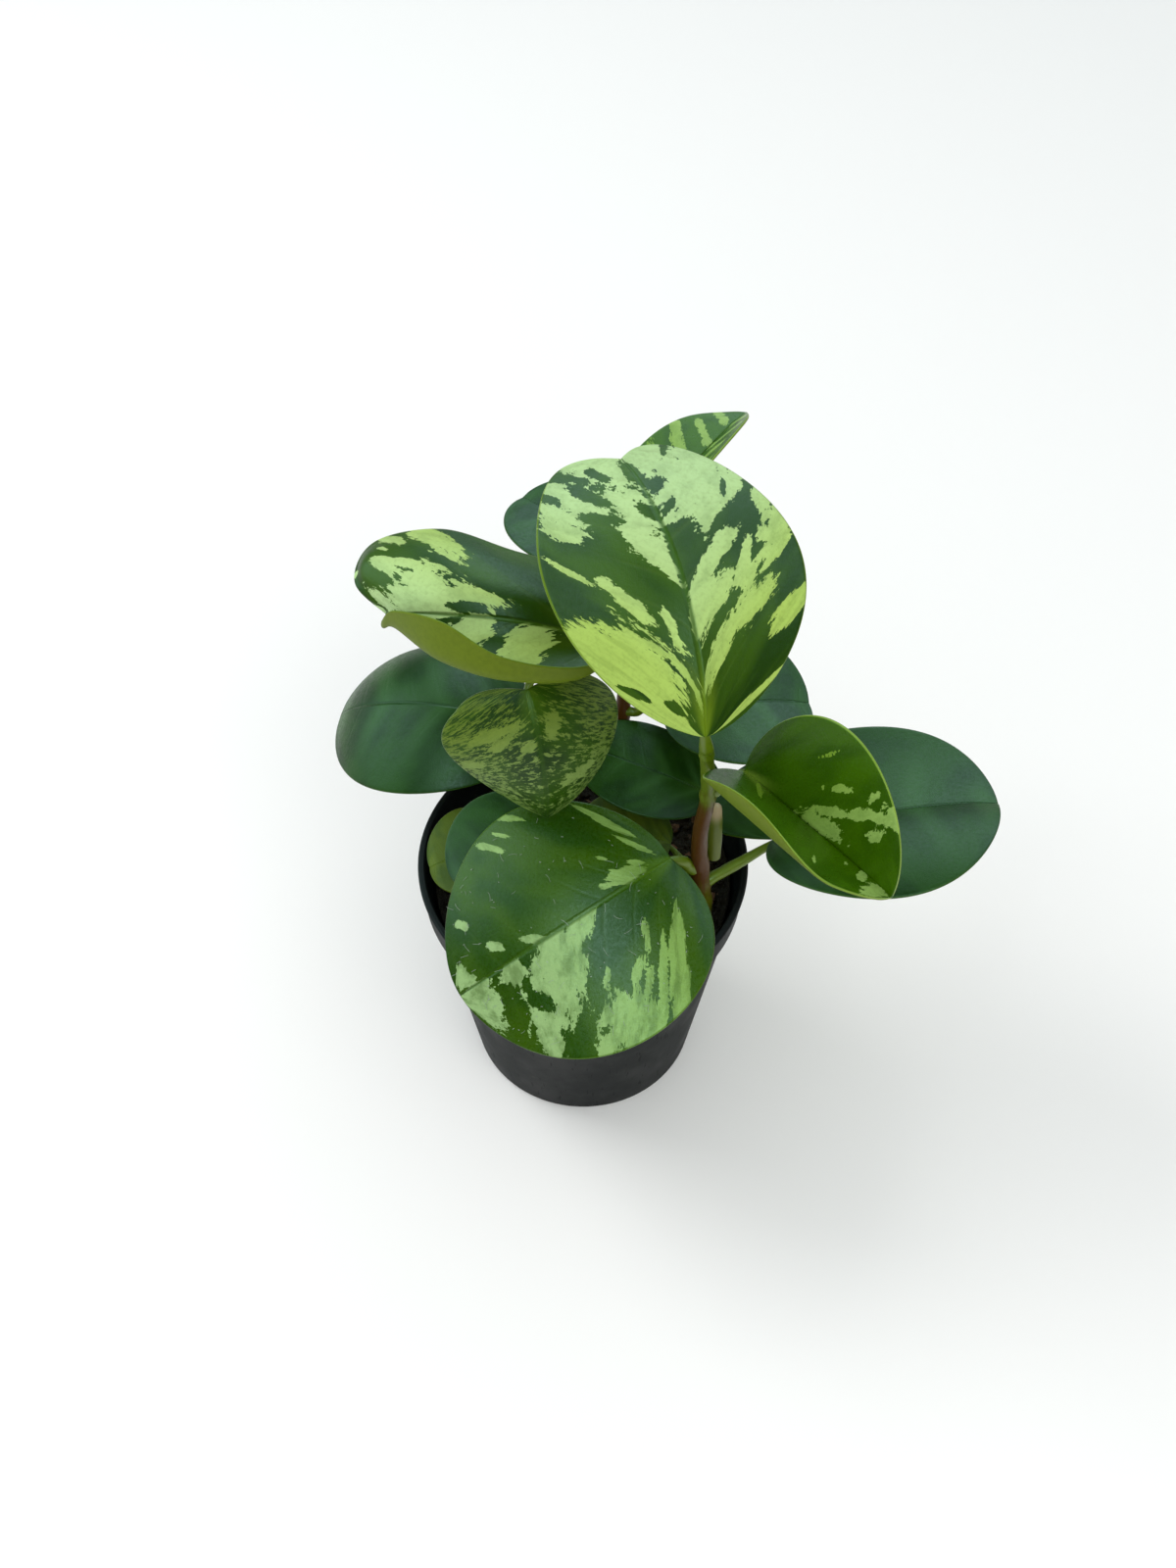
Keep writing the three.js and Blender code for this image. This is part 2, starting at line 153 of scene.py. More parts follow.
def times(tree, a, b):
    return math_node(tree, "MULTIPLY", a, b)


def plus(tree, a, b):
    return math_node(tree, "ADD", a, b)


def centred(tree, value):
    return math_node(tree, "SUBTRACT", value, 0.5)


def noise_of(tree, vector, scale, detail=3.0, roughness=0.55):
    node = tree.nodes.new("ShaderNodeTexNoise")
    node.inputs["Scale"].default_value = scale
    node.inputs["Detail"].default_value = detail
    node.inputs["Roughness"].default_value = roughness
    tree.links.new(vector, node.inputs["Vector"])
    return node.outputs["Fac"]


def ramp_of(tree, value, low, high, out_low=0.0, out_high=1.0):
    node = tree.nodes.new("ShaderNodeMapRange")
    node.interpolation_type = "SMOOTHSTEP"
    node.inputs["From Min"].default_value = low
    node.inputs["From Max"].default_value = high
    node.inputs["To Min"].default_value = out_low
    node.inputs["To Max"].default_value = out_high
    tree.links.new(value, node.inputs["Value"])
    return node.outputs["Result"]


def mix_of(tree, share, a, b):
    """Colour a, with a share of colour b over it. Sockets 0, 6 and 7 take the share and the colours."""
    node = tree.nodes.new("ShaderNodeMix")
    node.data_type = "RGBA"
    for socket, value in ((node.inputs[0], share), (node.inputs[6], a), (node.inputs[7], b)):
        if isinstance(value, bpy.types.NodeSocket):
            tree.links.new(value, socket)
        elif isinstance(value, (int, float)):
            socket.default_value = value
        else:
            socket.default_value = (*value, 1.0)
    return node.outputs[2]


def bump_of(tree, height, distance, strength=1.0, normal=None):
    node = tree.nodes.new("ShaderNodeBump")
    node.inputs["Strength"].default_value = strength
    node.inputs["Distance"].default_value = distance
    tree.links.new(height, node.inputs["Height"])
    if normal:
        tree.links.new(normal, node.inputs["Normal"])
    return node.outputs["Normal"]


def black_plastic():
    black, faded_black, dust_tone = (0.004, 0.0045, 0.0045), (0.009, 0.011, 0.011), (0.05, 0.045, 0.035)
    material, tree, skin = new_material("black_satin_plastic")
    place = object_place(tree)
    cloudy = noise_of(tree, place, scale=60, detail=4)
    grain = noise_of(tree, place, scale=1800, detail=2)
    upright_streaks = noise_of(tree, stretched(tree, place, (900, 900, 40)), scale=1)
    scuff = ramp_of(tree, upright_streaks, 0.62, 0.74)
    dust = ramp_of(tree, noise_of(tree, place, scale=420, detail=5, roughness=0.7), 0.6, 0.75, 0, 0.35)
    colour = mix_of(tree, cloudy, black, faded_black)
    colour = mix_of(tree, dust, colour, dust_tone)
    tree.links.new(colour, skin.inputs["Base Color"])
    rough = plus(tree, ramp_of(tree, cloudy, 0.3, 0.7, 0.52, 0.66), times(tree, scuff, 0.15))
    tree.links.new(rough, skin.inputs["Roughness"])
    skin.inputs["Specular IOR Level"].default_value = 0.12
    tree.links.new(bump_of(tree, grain, 0.03 * MM, 0.5), skin.inputs["Normal"])
    return material


turn_up(POT_WALL, POT_SIDES)
close_end()
bpy.ops.mesh.select_all(action="DESELECT")
bpy.ops.object.mode_set(mode="OBJECT")
pot = name_piece("nursery_pot")
foot = POT_WALL[0][0] - NEAR
select_edges(pot, lambda place: place.xy.length > foot and place.z < NEAR)
bpy.ops.object.mode_set(mode="EDIT")
close_end()
turn_faces_out(pot)
for i in range(DRAIN_HOLES):
    turn = 2 * math.pi * (i + 0.5) / DRAIN_HOLES
    deselect()
    bpy.ops.mesh.primitive_cylinder_add(
        vertices=32, radius=DRAIN_HOLE_RADIUS, depth=8 * MM,
        location=(DRAIN_HOLE_RING * math.cos(turn), DRAIN_HOLE_RING * math.sin(turn), MM))
    punch = bpy.context.object
    cut = pot.modifiers.new("drain_hole", "BOOLEAN")
    cut.object = punch
    cut.solver = "EXACT"
    apply_all(pot)
    bpy.data.objects.remove(punch)
soften = pot.modifiers.new("soft_edges", "BEVEL")
soften.width = POT_EDGE_SOFTNESS
soften.segments = 2
soften.limit_method = "ANGLE"
soften.angle_limit = math.radians(28)
apply_all(pot)
smooth_by_angle(pot, 40)
pot.data.materials.append(black_plastic())
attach(pot, "root")
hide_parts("pot")


# Potting soil.
# The real filling is dark moist peat with crumbs of bark. It lies loose in the pot, a little
# higher in the middle, and the stems grow up through it.
SOIL_RADIUS = 0.0448
SOIL_TOP = 0.080
SOIL_EDGE = 0.0794
SOIL_SIDES = 200
SOIL_WALL = [(0.0349, 0.0022), (0.0446, 0.0764), (SOIL_RADIUS, SOIL_EDGE)]
SOIL_RINGS = [(SOIL_RADIUS - 0.0007 * i, SOIL_EDGE + NEAR) for i in range(1, 62)]


def soil_height(x, y):
    """The soft lumps of the soil's top, levelled out where it meets the pot."""
    out = math.hypot(x, y) / SOIL_RADIUS
    lump = 0.8 * math.sin(x / MM * 0.21 + 1) * math.cos(y / MM * 0.17)
    lump += 0.5 * math.sin(x / MM * 0.43 + y / MM * 0.37 + 2)
    low = SOIL_TOP - 1.8 * MM * out * out + lump * MM
    edge = min(max((out - 0.9) / 0.1, 0), 1)
    return low + (SOIL_EDGE - low) * edge


def peat():
    wet, moist, dry = (0.006, 0.004, 0.0025), (0.020, 0.013, 0.007), (0.05, 0.03, 0.016)
    material, tree, skin = new_material("moist_peat")
    place = object_place(tree)
    patches = noise_of(tree, place, scale=240, detail=4)
    crumbs = noise_of(tree, place, scale=1500, detail=5, roughness=0.65)
    colour = mix_of(tree, patches, wet, moist)
    colour = mix_of(tree, ramp_of(tree, crumbs, 0.56, 0.72), colour, dry)
    tree.links.new(colour, skin.inputs["Base Color"])
    tree.links.new(ramp_of(tree, crumbs, 0.3, 0.7, 0.95, 0.7), skin.inputs["Roughness"])
    skin.inputs["Specular IOR Level"].default_value = 0.25
    tree.links.new(bump_of(tree, crumbs, 0.6 * MM, 0.9), skin.inputs["Normal"])
    return material


peat_material = peat()
turn_up(SOIL_WALL + SOIL_RINGS, SOIL_SIDES)
bpy.ops.mesh.merge(type="CENTER")
bpy.ops.object.mode_set(mode="OBJECT")
soil = name_piece("potting_soil")
select_edges(soil, lambda place: place.z < SOIL_WALL[0][1] + NEAR)
bpy.ops.object.mode_set(mode="EDIT")
close_end()
turn_faces_out(soil)
for v in soil.data.vertices:
    if v.co.z > SOIL_EDGE - NEAR:
        spot = Vector((v.co.x, v.co.y, 0))
        inside = min(max((SOIL_RADIUS - spot.length) / (2 * MM), 0), 1)
        lumps = 1.1 * MM * noise.fractal(spot * 260, 0.8, 2.2, 4)
        grains = 0.6 * MM * noise.cell(spot * 700)
        v.co.z = soil_height(spot.x, spot.y) + (lumps + grains) * inside
soil.data.materials.append(peat_material)
smooth_by_angle(soil, 180)
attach(soil, "root")
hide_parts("soil")


# Crumbs and bark.
# The real mix has crumbs of peat a millimetre or two across, and flat chips of reddish-brown
# bark, all lying loose on top.
LOOSE_RADIUS = 0.0425


def scatter(name, count, seed, sizes, flat, material):
    """Many small rough lumps in one mesh, each with its own size, stretch and turn."""
    dice = random.Random(seed)
    deselect()
    bpy.ops.mesh.primitive_ico_sphere_add(subdivisions=1, radius=1)
    pattern = bpy.context.object
    corners = [v.co.copy() for v in pattern.data.vertices]
    sides = [tuple(p.vertices) for p in pattern.data.polygons]
    points, faces = [], []
    for i in range(count):
        r = LOOSE_RADIUS * math.sqrt(dice.random())
        a = dice.random() * 2 * math.pi
        x, y = r * math.cos(a), r * math.sin(a)
        size = dice.uniform(*sizes)
        stretch = Vector((dice.uniform(0.8, 1.5), dice.uniform(0.6, 1.1), dice.uniform(*flat)))
        spin = Vector((dice.uniform(-0.5, 0.5), dice.uniform(-0.5, 0.5), dice.uniform(0, 6.28)))
        turn = Euler(spin).to_matrix()
        centre = Vector((x, y, soil_height(x, y) + size * flat[0] * 0.7))
        first = len(points)
        for c in corners:
            bump = 1 + 0.35 * noise.noise(c * 1.7 + Vector((i * 3.1, 0, 0)))
            points.append(centre + turn @ (c * stretch) * size * bump)
        faces.extend(tuple(first + k for k in side) for side in sides)
    mesh = bpy.data.meshes.new(name)
    mesh.from_pydata(points, [], faces)
    pattern.data = mesh
    pattern.name = name
    mesh.materials.append(material)
    smooth_by_angle(pattern, 35)
    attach(pattern, "root")


def bark():
    dark_bark, red_bark, torn_fibre = (0.03, 0.014, 0.007), (0.10, 0.047, 0.022), (0.16, 0.09, 0.05)
    material, tree, skin = new_material("bark_chips")
    place = object_place(tree)
    tone = noise_of(tree, place, scale=170, detail=2)
    fibre = noise_of(tree, place, scale=1300, detail=4)
    colour = mix_of(tree, ramp_of(tree, tone, 0.35, 0.65), dark_bark, red_bark)
    colour = mix_of(tree, ramp_of(tree, fibre, 0.5, 0.75), colour, torn_fibre)
    tree.links.new(colour, skin.inputs["Base Color"])
    skin.inputs["Roughness"].default_value = 0.85
    tree.links.new(bump_of(tree, fibre, 0.4 * MM, 0.8), skin.inputs["Normal"])
    return material


scatter("peat_crumbs", count=1500, seed=4, sizes=(0.0004, 0.0012), flat=(0.5, 0.9), material=peat_material)
scatter("bark_pieces", count=130, seed=9, sizes=(0.0008, 0.0022), flat=(0.22, 0.4), material=bark())


# Stems.
# The real stems are fleshy and round, yellow-green above and red-brown with age below, and
# slightly swollen at each joint, where a leaf stalk leaves or an old one has dropped.
STEMS = {
    "stem_right": dict(
        knots=[(34, -14, 60), (36, -15, 80), (34, -14, 102), (33, -15, 122), (34, -18, 143), (32, -24, 168)],
        thick=[2.7, 2.6, 2.6, 2.3, 2.2, 1.9], joints=[89, 95, 102, 106, 143]),
    "stem_left": dict(
        knots=[(-4, 10, 60), (-5, 11, 80), (-7, 14, 100), (-8, 17, 122), (-8, 19, 144)],
        thick=[2.7, 2.6, 2.5, 2.3, 2.0], joints=[88, 95, 104, 140]),
    "stem_back": dict(
        knots=[(8, 25, 60), (9, 26, 80), (11, 32, 106), (13, 39, 130), (14, 44, 150)],
        thick=[2.7, 2.6, 2.4, 2.2, 1.9], joints=[116, 131, 142]),
}
STEM_STEPS = 90
STEM_SLIMNESS = 0.96
JOINT_SWELL = 0.16
JOINT_REACH = 2.2
BARE_TIP = (0.97, 0.88, 0.7, 0.35)


def in_metres(places):
    return [Vector(place) * MM for place in places]


def through(points, t):
    """A smooth line through points, t from 0 to 1."""
    n = len(points) - 1
    i = min(int(t * n), n - 1)
    f = t * n - i
    b, c = points[i], points[i + 1]
    a = points[i - 1] if i > 0 else b * 2 - c
    d = points[i + 2] if i + 2 <= n else c * 2 - b
    bend = (a * 2 - b * 5 + c * 4 - d) * f * f + (b * 3 - a - c * 3 + d) * f ** 3
    return (b * 2 + (c - a) * f + bend) * 0.5


def through_numbers(numbers, t):
    return through([Vector((n, 0, 0)) for n in numbers], t).x


def along_line(knots, steps):
    return [through(knots, i / steps) for i in range(steps + 1)]


def thickness_along(numbers, steps):
    return [through_numbers(numbers, i / steps) for i in range(steps + 1)]


def fleshy_rod(name, path, radii, sides=24, joints=()):
    """A circle extruded along a path, given its thickness ring by ring."""
    steps = len(path) - 1
    deselect()
    bpy.ops.mesh.primitive_circle_add(vertices=sides, radius=1, fill_type="NGON")
    bpy.ops.object.mode_set(mode="EDIT")
    bpy.ops.mesh.select_all(action="SELECT")
    for i in range(steps):
        bpy.ops.mesh.extrude_region_move(TRANSFORM_OT_translate={"value": (0, 0, 1)})
    bpy.ops.object.mode_set(mode="OBJECT")
    rod = name_piece(name)
    across = Vector((1, 0, 0))
    frames = []
    for i, middle in enumerate(path):
        along = (path[min(i + 1, steps)] - path[max(i - 1, 0)]).normalized()
        across = (across - along * across.dot(along)).normalized()
        frames.append((middle, across.copy(), along.cross(across)))
    for v in rod.data.vertices:
        ring = round(v.co.z)
        middle, a, b = frames[ring]
        swell = 1 + sum(JOINT_SWELL * math.exp(-((middle.z / MM - joint) / JOINT_REACH) ** 2) for joint in joints)
        ripple = 1 + 0.05 * noise.noise(middle * 300 + Vector((v.co.x, v.co.y, 0)) * 0.8)
        v.co = middle + (a * v.co.x + b * v.co.y) * radii[ring] * swell * ripple
    turn_faces_out(rod)
    return rod


def height_of(tree, place):
    parts = tree.nodes.new("ShaderNodeSeparateXYZ")
    tree.links.new(place, parts.inputs[0])
    return parts.outputs["Z"]


def stem_skin():
    dark_green, light_green, red_brown = (0.055, 0.095, 0.002), (0.11, 0.16, 0.006), (0.062, 0.024, 0.003)
    material, tree, skin = new_material("stem_skin")
    place = object_place(tree)
    mottle = noise_of(tree, stretched(tree, place, (420, 420, 90)), scale=1, detail=4)
    fine = noise_of(tree, place, scale=1600)
    level = plus(tree, height_of(tree, place), times(tree, centred(tree, mottle), 0.03))
    below_green_top = ramp_of(tree, level, 0.150, 0.132)
    above_green_foot = ramp_of(tree, level, 0.085, 0.104, 0.35, 1.0)
    colour = mix_of(tree, mottle, dark_green, light_green)
    colour = mix_of(tree, times(tree, below_green_top, above_green_foot), colour, red_brown)
    tree.links.new(colour, skin.inputs["Base Color"])
    tree.links.new(ramp_of(tree, mottle, 0.3, 0.7, 0.3, 0.5), skin.inputs["Roughness"])
    skin.inputs["Specular IOR Level"].default_value = 0.25
    tree.links.new(bump_of(tree, fine, 0.1 * MM, 0.5), skin.inputs["Normal"])
    return material


stem_material = stem_skin()
for name, shape in STEMS.items():
    path = along_line(in_metres(shape["knots"]), STEM_STEPS)
    radii = [MM * STEM_SLIMNESS * r for r in thickness_along(shape["thick"], STEM_STEPS)]
    if name == "stem_left":
        # Its highest leaf leaves below its top, so the top is bare and rounded.
        radii[-len(BARE_TIP):] = [r * share for r, share in zip(radii[-len(BARE_TIP):], BARE_TIP)]
    stem = fleshy_rod(name + "_skin", path, radii, joints=shape["joints"])
    stem.data.materials.append(stem_material)
    smooth_by_angle(stem, 60)
    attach(stem, "root")
    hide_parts(name)


# Side shoot.
# A short fleshy shoot beside the right stem, green like the stem's young parts. It has stopped
# growing, and its rounded end has dried to a pale buff.
SHOOT_LINE = [(38, -10, 104), (38, -9, 109), (38, -7, 115), (38, -5, 120)]
SHOOT_THICK = [2.0, 2.1, 2.1, 1.8]
SHOOT_STEPS = 24
SHOOT_CAP = [(0.9, 1.6), (1.5, 1.1), (1.8, 0.405)]


def shoot_skin():
    dark_green, light_green, buff = (0.055, 0.078, 0.002), (0.085, 0.11, 0.004), (0.30, 0.24, 0.13)
    material, tree, skin = new_material("young_shoot_skin")
    place = object_place(tree)
    mottle = noise_of(tree, place, scale=500)
    tip = ramp_of(tree, height_of(tree, place), 0.1165, 0.1205)
    colour = mix_of(tree, mottle, dark_green, light_green)
    colour = mix_of(tree, tip, colour, buff)
    tree.links.new(colour, skin.inputs["Base Color"])
    skin.inputs["Roughness"].default_value = 0.45
    tree.links.new(bump_of(tree, mottle, 0.2 * MM, 0.4), skin.inputs["Normal"])
    return material


path = along_line(in_metres(SHOOT_LINE), SHOOT_STEPS)
radii = [MM * r for r in thickness_along(SHOOT_THICK, SHOOT_STEPS)]
end, onward = path[-1], (path[-1] - path[-2]).normalized()
for ahead, radius in SHOOT_CAP:
    path.append(end + onward * ahead * MM)
    radii.append(radius * MM)
shoot = fleshy_rod("side_shoot_skin", path, radii)
shoot.data.materials.append(shoot_skin())
smooth_by_angle(shoot, 60)
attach(shoot, "root")
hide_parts("side_shoot")


# Leaves.
# The real blades are thick, leathery and glossy, with a groove along the midrib, faint sunken
# side veins and a thin pale margin. Marbling runs along the side veins: pale cream-green where
# the tissue has no green, in ragged streaks and islands over dark and middle green.
BLADE_THICKNESS = 1.5
STALK_STEPS = 40
RIB_STEPS = 25


def blade_point(leaf, s, u):
    """The middle of the blade: s from base to tip, u from the right edge (-1) to the left (1).
    Each half folds at the midrib and curls outwards, and the whole blade bends along its length."""
    side = 0 if u >= 0 else 1
    half = leaf["width"] / 2
    q = abs(u) * math.sqrt(max(math.sin(math.pi * s ** leaf["m"]), 0))
    x = leaf["length"] * (s - leaf["lobe"][side] * q * (1 - s) ** 2 + leaf["notch"] * q * s ** 8)
    fold = math.radians(leaf["fold"][side])
    curl = math.radians(leaf["curl"][side] or 0.01)
    hinge = leaf.get("hinge", (0, 0))[side]
    flat = min(q, hinge)
    turn = fold + curl * max(q - hinge, 0) / (1 - hinge)
    r = half * (1 - hinge) / curl
    across = half * flat * math.cos(fold) + r * (math.sin(turn) - math.sin(fold))
    up = half * flat * math.sin(fold) + r * (math.cos(fold) - math.cos(turn))
    k = math.radians(leaf["bend"]) / leaf["length"]
    b = max(x, 0) * k
    ahead = (x if x < 0 else math.sin(b) / k) + up * math.sin(b)
    above = (math.cos(b) - 1) / k + up * math.cos(b)
    h, e, w = (math.radians(leaf[key]) for key in ("heading", "rise", "roll"))
    e1 = Vector((math.cos(e) * math.cos(h), math.cos(e) * math.sin(h), math.sin(e)))
    flat_side = Vector((-math.sin(h), math.cos(h), 0))
    e2 = flat_side * math.cos(w) + e1.cross(flat_side) * math.sin(w)
    sideways = e2 * (across if u >= 0 else -across)
    return (Vector(leaf["base"]) + e1 * ahead + sideways + e1.cross(e2) * above) * MM


def net_point(leaf, s, u):
    """The same for a blade that is given as rows of points across it, from base to tip."""
    rows = []
    for row in leaf["net"]:
        places = row if len(row) > 1 else row * 6
        rows.append(through([Vector(place) for place in places], u / 2 + 0.5))
    return through(rows, s) * MM


def vein_place(leaf, s, u):
    """Where a point lies along the side veins: t tells which vein, w how far out along it."""
    set_back = leaf.get("sweep", 0.45) * abs(u) ** 0.8
    return max((s - set_back) / (1 - set_back), -1.5), u


def marbling(marks, t, w):
    """1 in the middle of a pale mark, 0 at its edge and -1 well outside; a dark mark is negative.
    A mark is a spindle from (w0, t0) to (w1, t1), thickest in the middle and pointed at its ends."""
    breadth = 0.6
    level = -1.0
    for w0, t0, w1, t1, thick in marks:
        on_other_half = w * (w0 + w1) < 0
        if on_other_half:
            continue
        dx, dy = (w1 - w0) * breadth, t1 - t0
        px, py = (w - w0) * breadth, t - t0
        length = math.hypot(dx, dy)
        half = abs(thick) * 1.15
        cap = min(2 * half, length * 0.5)
        along = (px * dx + py * dy) / length
        over = abs(along - min(max(along, cap), length - cap)) / (cap + half)
        beside = (px * dy - py * dx) / length / half
        inside = 1 - math.hypot(beside, over)
        level = max(level, inside) if thick > 0 else min(level, -inside)
    return max(min(level, 1), -1)


def blade_thickness(s, u):
    """In mm: thick along the midrib, thinner at the margin, and rounded off at the very edge."""
    edge = abs(u)
    ends = min(1, 6 * s * (1 - s) + 0.4)
    thick = max((BLADE_THICKNESS - 0.7 * edge ** 2) * max(ends, 0.55), 0.8)
    from_rim = min(1, (1 - edge) * 28, s * 90, (1 - s) * 90)
    return thick * (0.35 + 0.65 * math.sqrt(max(1 - (1 - from_rim) ** 2, 0)))


def grow_blade(name, leaf, skin):
    """A grid laid along the veins, carrying its vein places and marks, then given its thickness."""
    point = net_point if "net" in leaf else blade_point
    across, along = leaf.get("grid", (72, 96))
    deselect()
    bpy.ops.mesh.primitive_grid_add(x_subdivisions=across, y_subdivisions=along, size=2)
    blade = name_piece(name)
    mesh = blade.data
    thickness = blade.vertex_groups.new(name="thickness")
    mesh.attributes.new("vein", "FLOAT_VECTOR", "POINT")
    mesh.attributes.new("pale", "FLOAT", "POINT")
    veins, pales = [], []
    for v in mesh.vertices:
        x, y = v.co.x, v.co.y
        at_edge = abs(x) > 1 - NEAR
        u = -x if at_edge else -math.copysign(1 - (1 - abs(x)) ** 1.35, x)
        s = 0.5 - 0.5 * math.cos(math.pi * (y + 1) / 2)
        t, w = vein_place(leaf, s, u)
        thickness.add([v.index], blade_thickness(s, u) / BLADE_THICKNESS, "REPLACE")
        veins.extend((t, w, leaf["seed"]))
        pales.append(marbling(leaf["marks"], t, w))
        v.co = point(leaf, s, u)
    mesh.attributes["vein"].data.foreach_set("vector", veins)
    mesh.attributes["pale"].data.foreach_set("value", pales)
    bpy.ops.object.mode_set(mode="EDIT")
    bpy.ops.mesh.select_all(action="SELECT")
    bpy.ops.mesh.remove_doubles(threshold=0.004 * MM)
    bpy.ops.object.mode_set(mode="OBJECT")
    mesh.materials.append(skin)
    mesh.materials.append(UNDERSIDE)
    body = blade.modifiers.new("body", "SOLIDIFY")
    body.thickness = BLADE_THICKNESS * MM
    body.offset = 0
    body.vertex_group = "thickness"
    body.thickness_vertex_group = 0.0
    body.material_offset = 1
    apply_all(blade)
    smooth_by_angle(blade, 80)
    return blade


def on_stem(knots, thick, height):
    """The stem's place, direction and radius at a height."""
    steps = 120
    i = 0
    while i < steps - 1 and through(knots, (i + 1) / steps).z < height:
        i += 1
    place = through(knots, (i + 1) / steps)
    return place, (place - through(knots, i / steps)).normalized(), through_numbers(thick, (i + 1) / steps)


def grow_stalk(name, leaf):
    """The stalk arches from beside the stem and runs on under the blade as the rib."""
    point = net_point if "net" in leaf else blade_point
    stem = STEMS[leaf["stem"]]
    place, along, radius = on_stem([Vector(knot) for knot in stem["knots"]], stem["thick"], leaf["height"])
    base = point(leaf, 0, 0) / MM
    aim = (base - place).normalized()
    if leaf.get("on_top"):
        start = place - along * 0.8
        first = start + along * 3
    else:
        slant = max(math.sqrt(1 - aim.dot(along) ** 2), 0.2)
        start = place + aim * (radius - 0.5) / slant
        first = start + aim * 3
    middle = (start + base) / 2 + Vector((0, 0, leaf["lift"]))

    def under(s, down):
        p = point(leaf, s, 0)
        n = (point(leaf, s + 0.02, 0) - p).cross(point(leaf, s, 0.05) - p).normalized()
        return p / MM - n * down

    sink = leaf["stalk"] * 0.5 + 0.35
    line = [start, first, middle, under(0.02, sink), under(0.14, sink + 0.1), under(0.3, sink)]
    path = along_line(line, STALK_STEPS)
    taper = thickness_along([1.1, 1.0, 0.95, 0.6, 0.5, 0.42], STALK_STEPS)
    for i in range(1, RIB_STEPS + 1):
        k = i / RIB_STEPS
        path.append(under(0.3 + 0.62 * k, sink - (sink - 0.5) * k))
        taper.append(0.42 - 0.30 * k)
    rod = fleshy_rod(name, in_metres(path), [leaf["stalk"] * share * MM for share in taper], sides=20)
    smooth_by_angle(rod, 60)
    return rod


def vein_net():
    """Group: where a point lies among the veins, and masks of the side veins, midrib and margin."""
    group = bpy.data.node_groups.new("vein_net", "ShaderNodeTree")
    group.interface.new_socket("Vein", in_out="INPUT", socket_type="NodeSocketVector")
    for title in ("Which", "Far", "Side", "Rib", "Margin"):
        group.interface.new_socket(title, in_out="OUTPUT", socket_type="NodeSocketFloat")
    entry = group.nodes.new("NodeGroupInput")
    leave = group.nodes.new("NodeGroupOutput")
    parts = group.nodes.new("ShaderNodeSeparateXYZ")
    group.links.new(entry.outputs["Vein"], parts.inputs[0])
    which = parts.outputs["X"]
    far = math_node(group, "ABSOLUTE", parts.outputs["Y"])
    wave = math_node(group, "PINGPONG", times(group, which, 6.5), 0.5)
    on_vein = ramp_of(group, wave, 0.0, 0.10, 1.0, 0.0)
    group.links.new(which, leave.inputs["Which"])
    group.links.new(far, leave.inputs["Far"])
    group.links.new(times(group, on_vein, ramp_of(group, far, 0.1, 0.85, 1.0, 0.0)), leave.inputs["Side"])
    group.links.new(ramp_of(group, far, 0.004, 0.03, 1.0, 0.0), leave.inputs["Rib"])
    group.links.new(ramp_of(group, far, 0.984, 0.994), leave.inputs["Margin"])
    return group


VEIN_NET = vein_net()


def attribute_of(tree, name):
    node = tree.nodes.new("ShaderNodeAttribute")
    node.attribute_name = name
    return node.outputs


def place_vein_net(tree, vein):
    node = tree.nodes.new("ShaderNodeGroup")
    node.node_tree = VEIN_NET
    tree.links.new(vein, node.inputs["Vein"])
    return node.outputs


def streaky(tree, vein, which_scale, out_scale, detail=3.0, roughness=0.6, shift=0.0):
    """A noise drawn out along the side veins."""
    spread = tree.nodes.new("ShaderNodeVectorMath")
    spread.operation = "MULTIPLY_ADD"
    tree.links.new(vein, spread.inputs[0])
    spread.inputs[1].default_value = (which_scale, out_scale, 1)
    spread.inputs[2].default_value = (0, 0, shift)
    return noise_of(tree, spread.outputs[0], 1.0, detail, roughness)


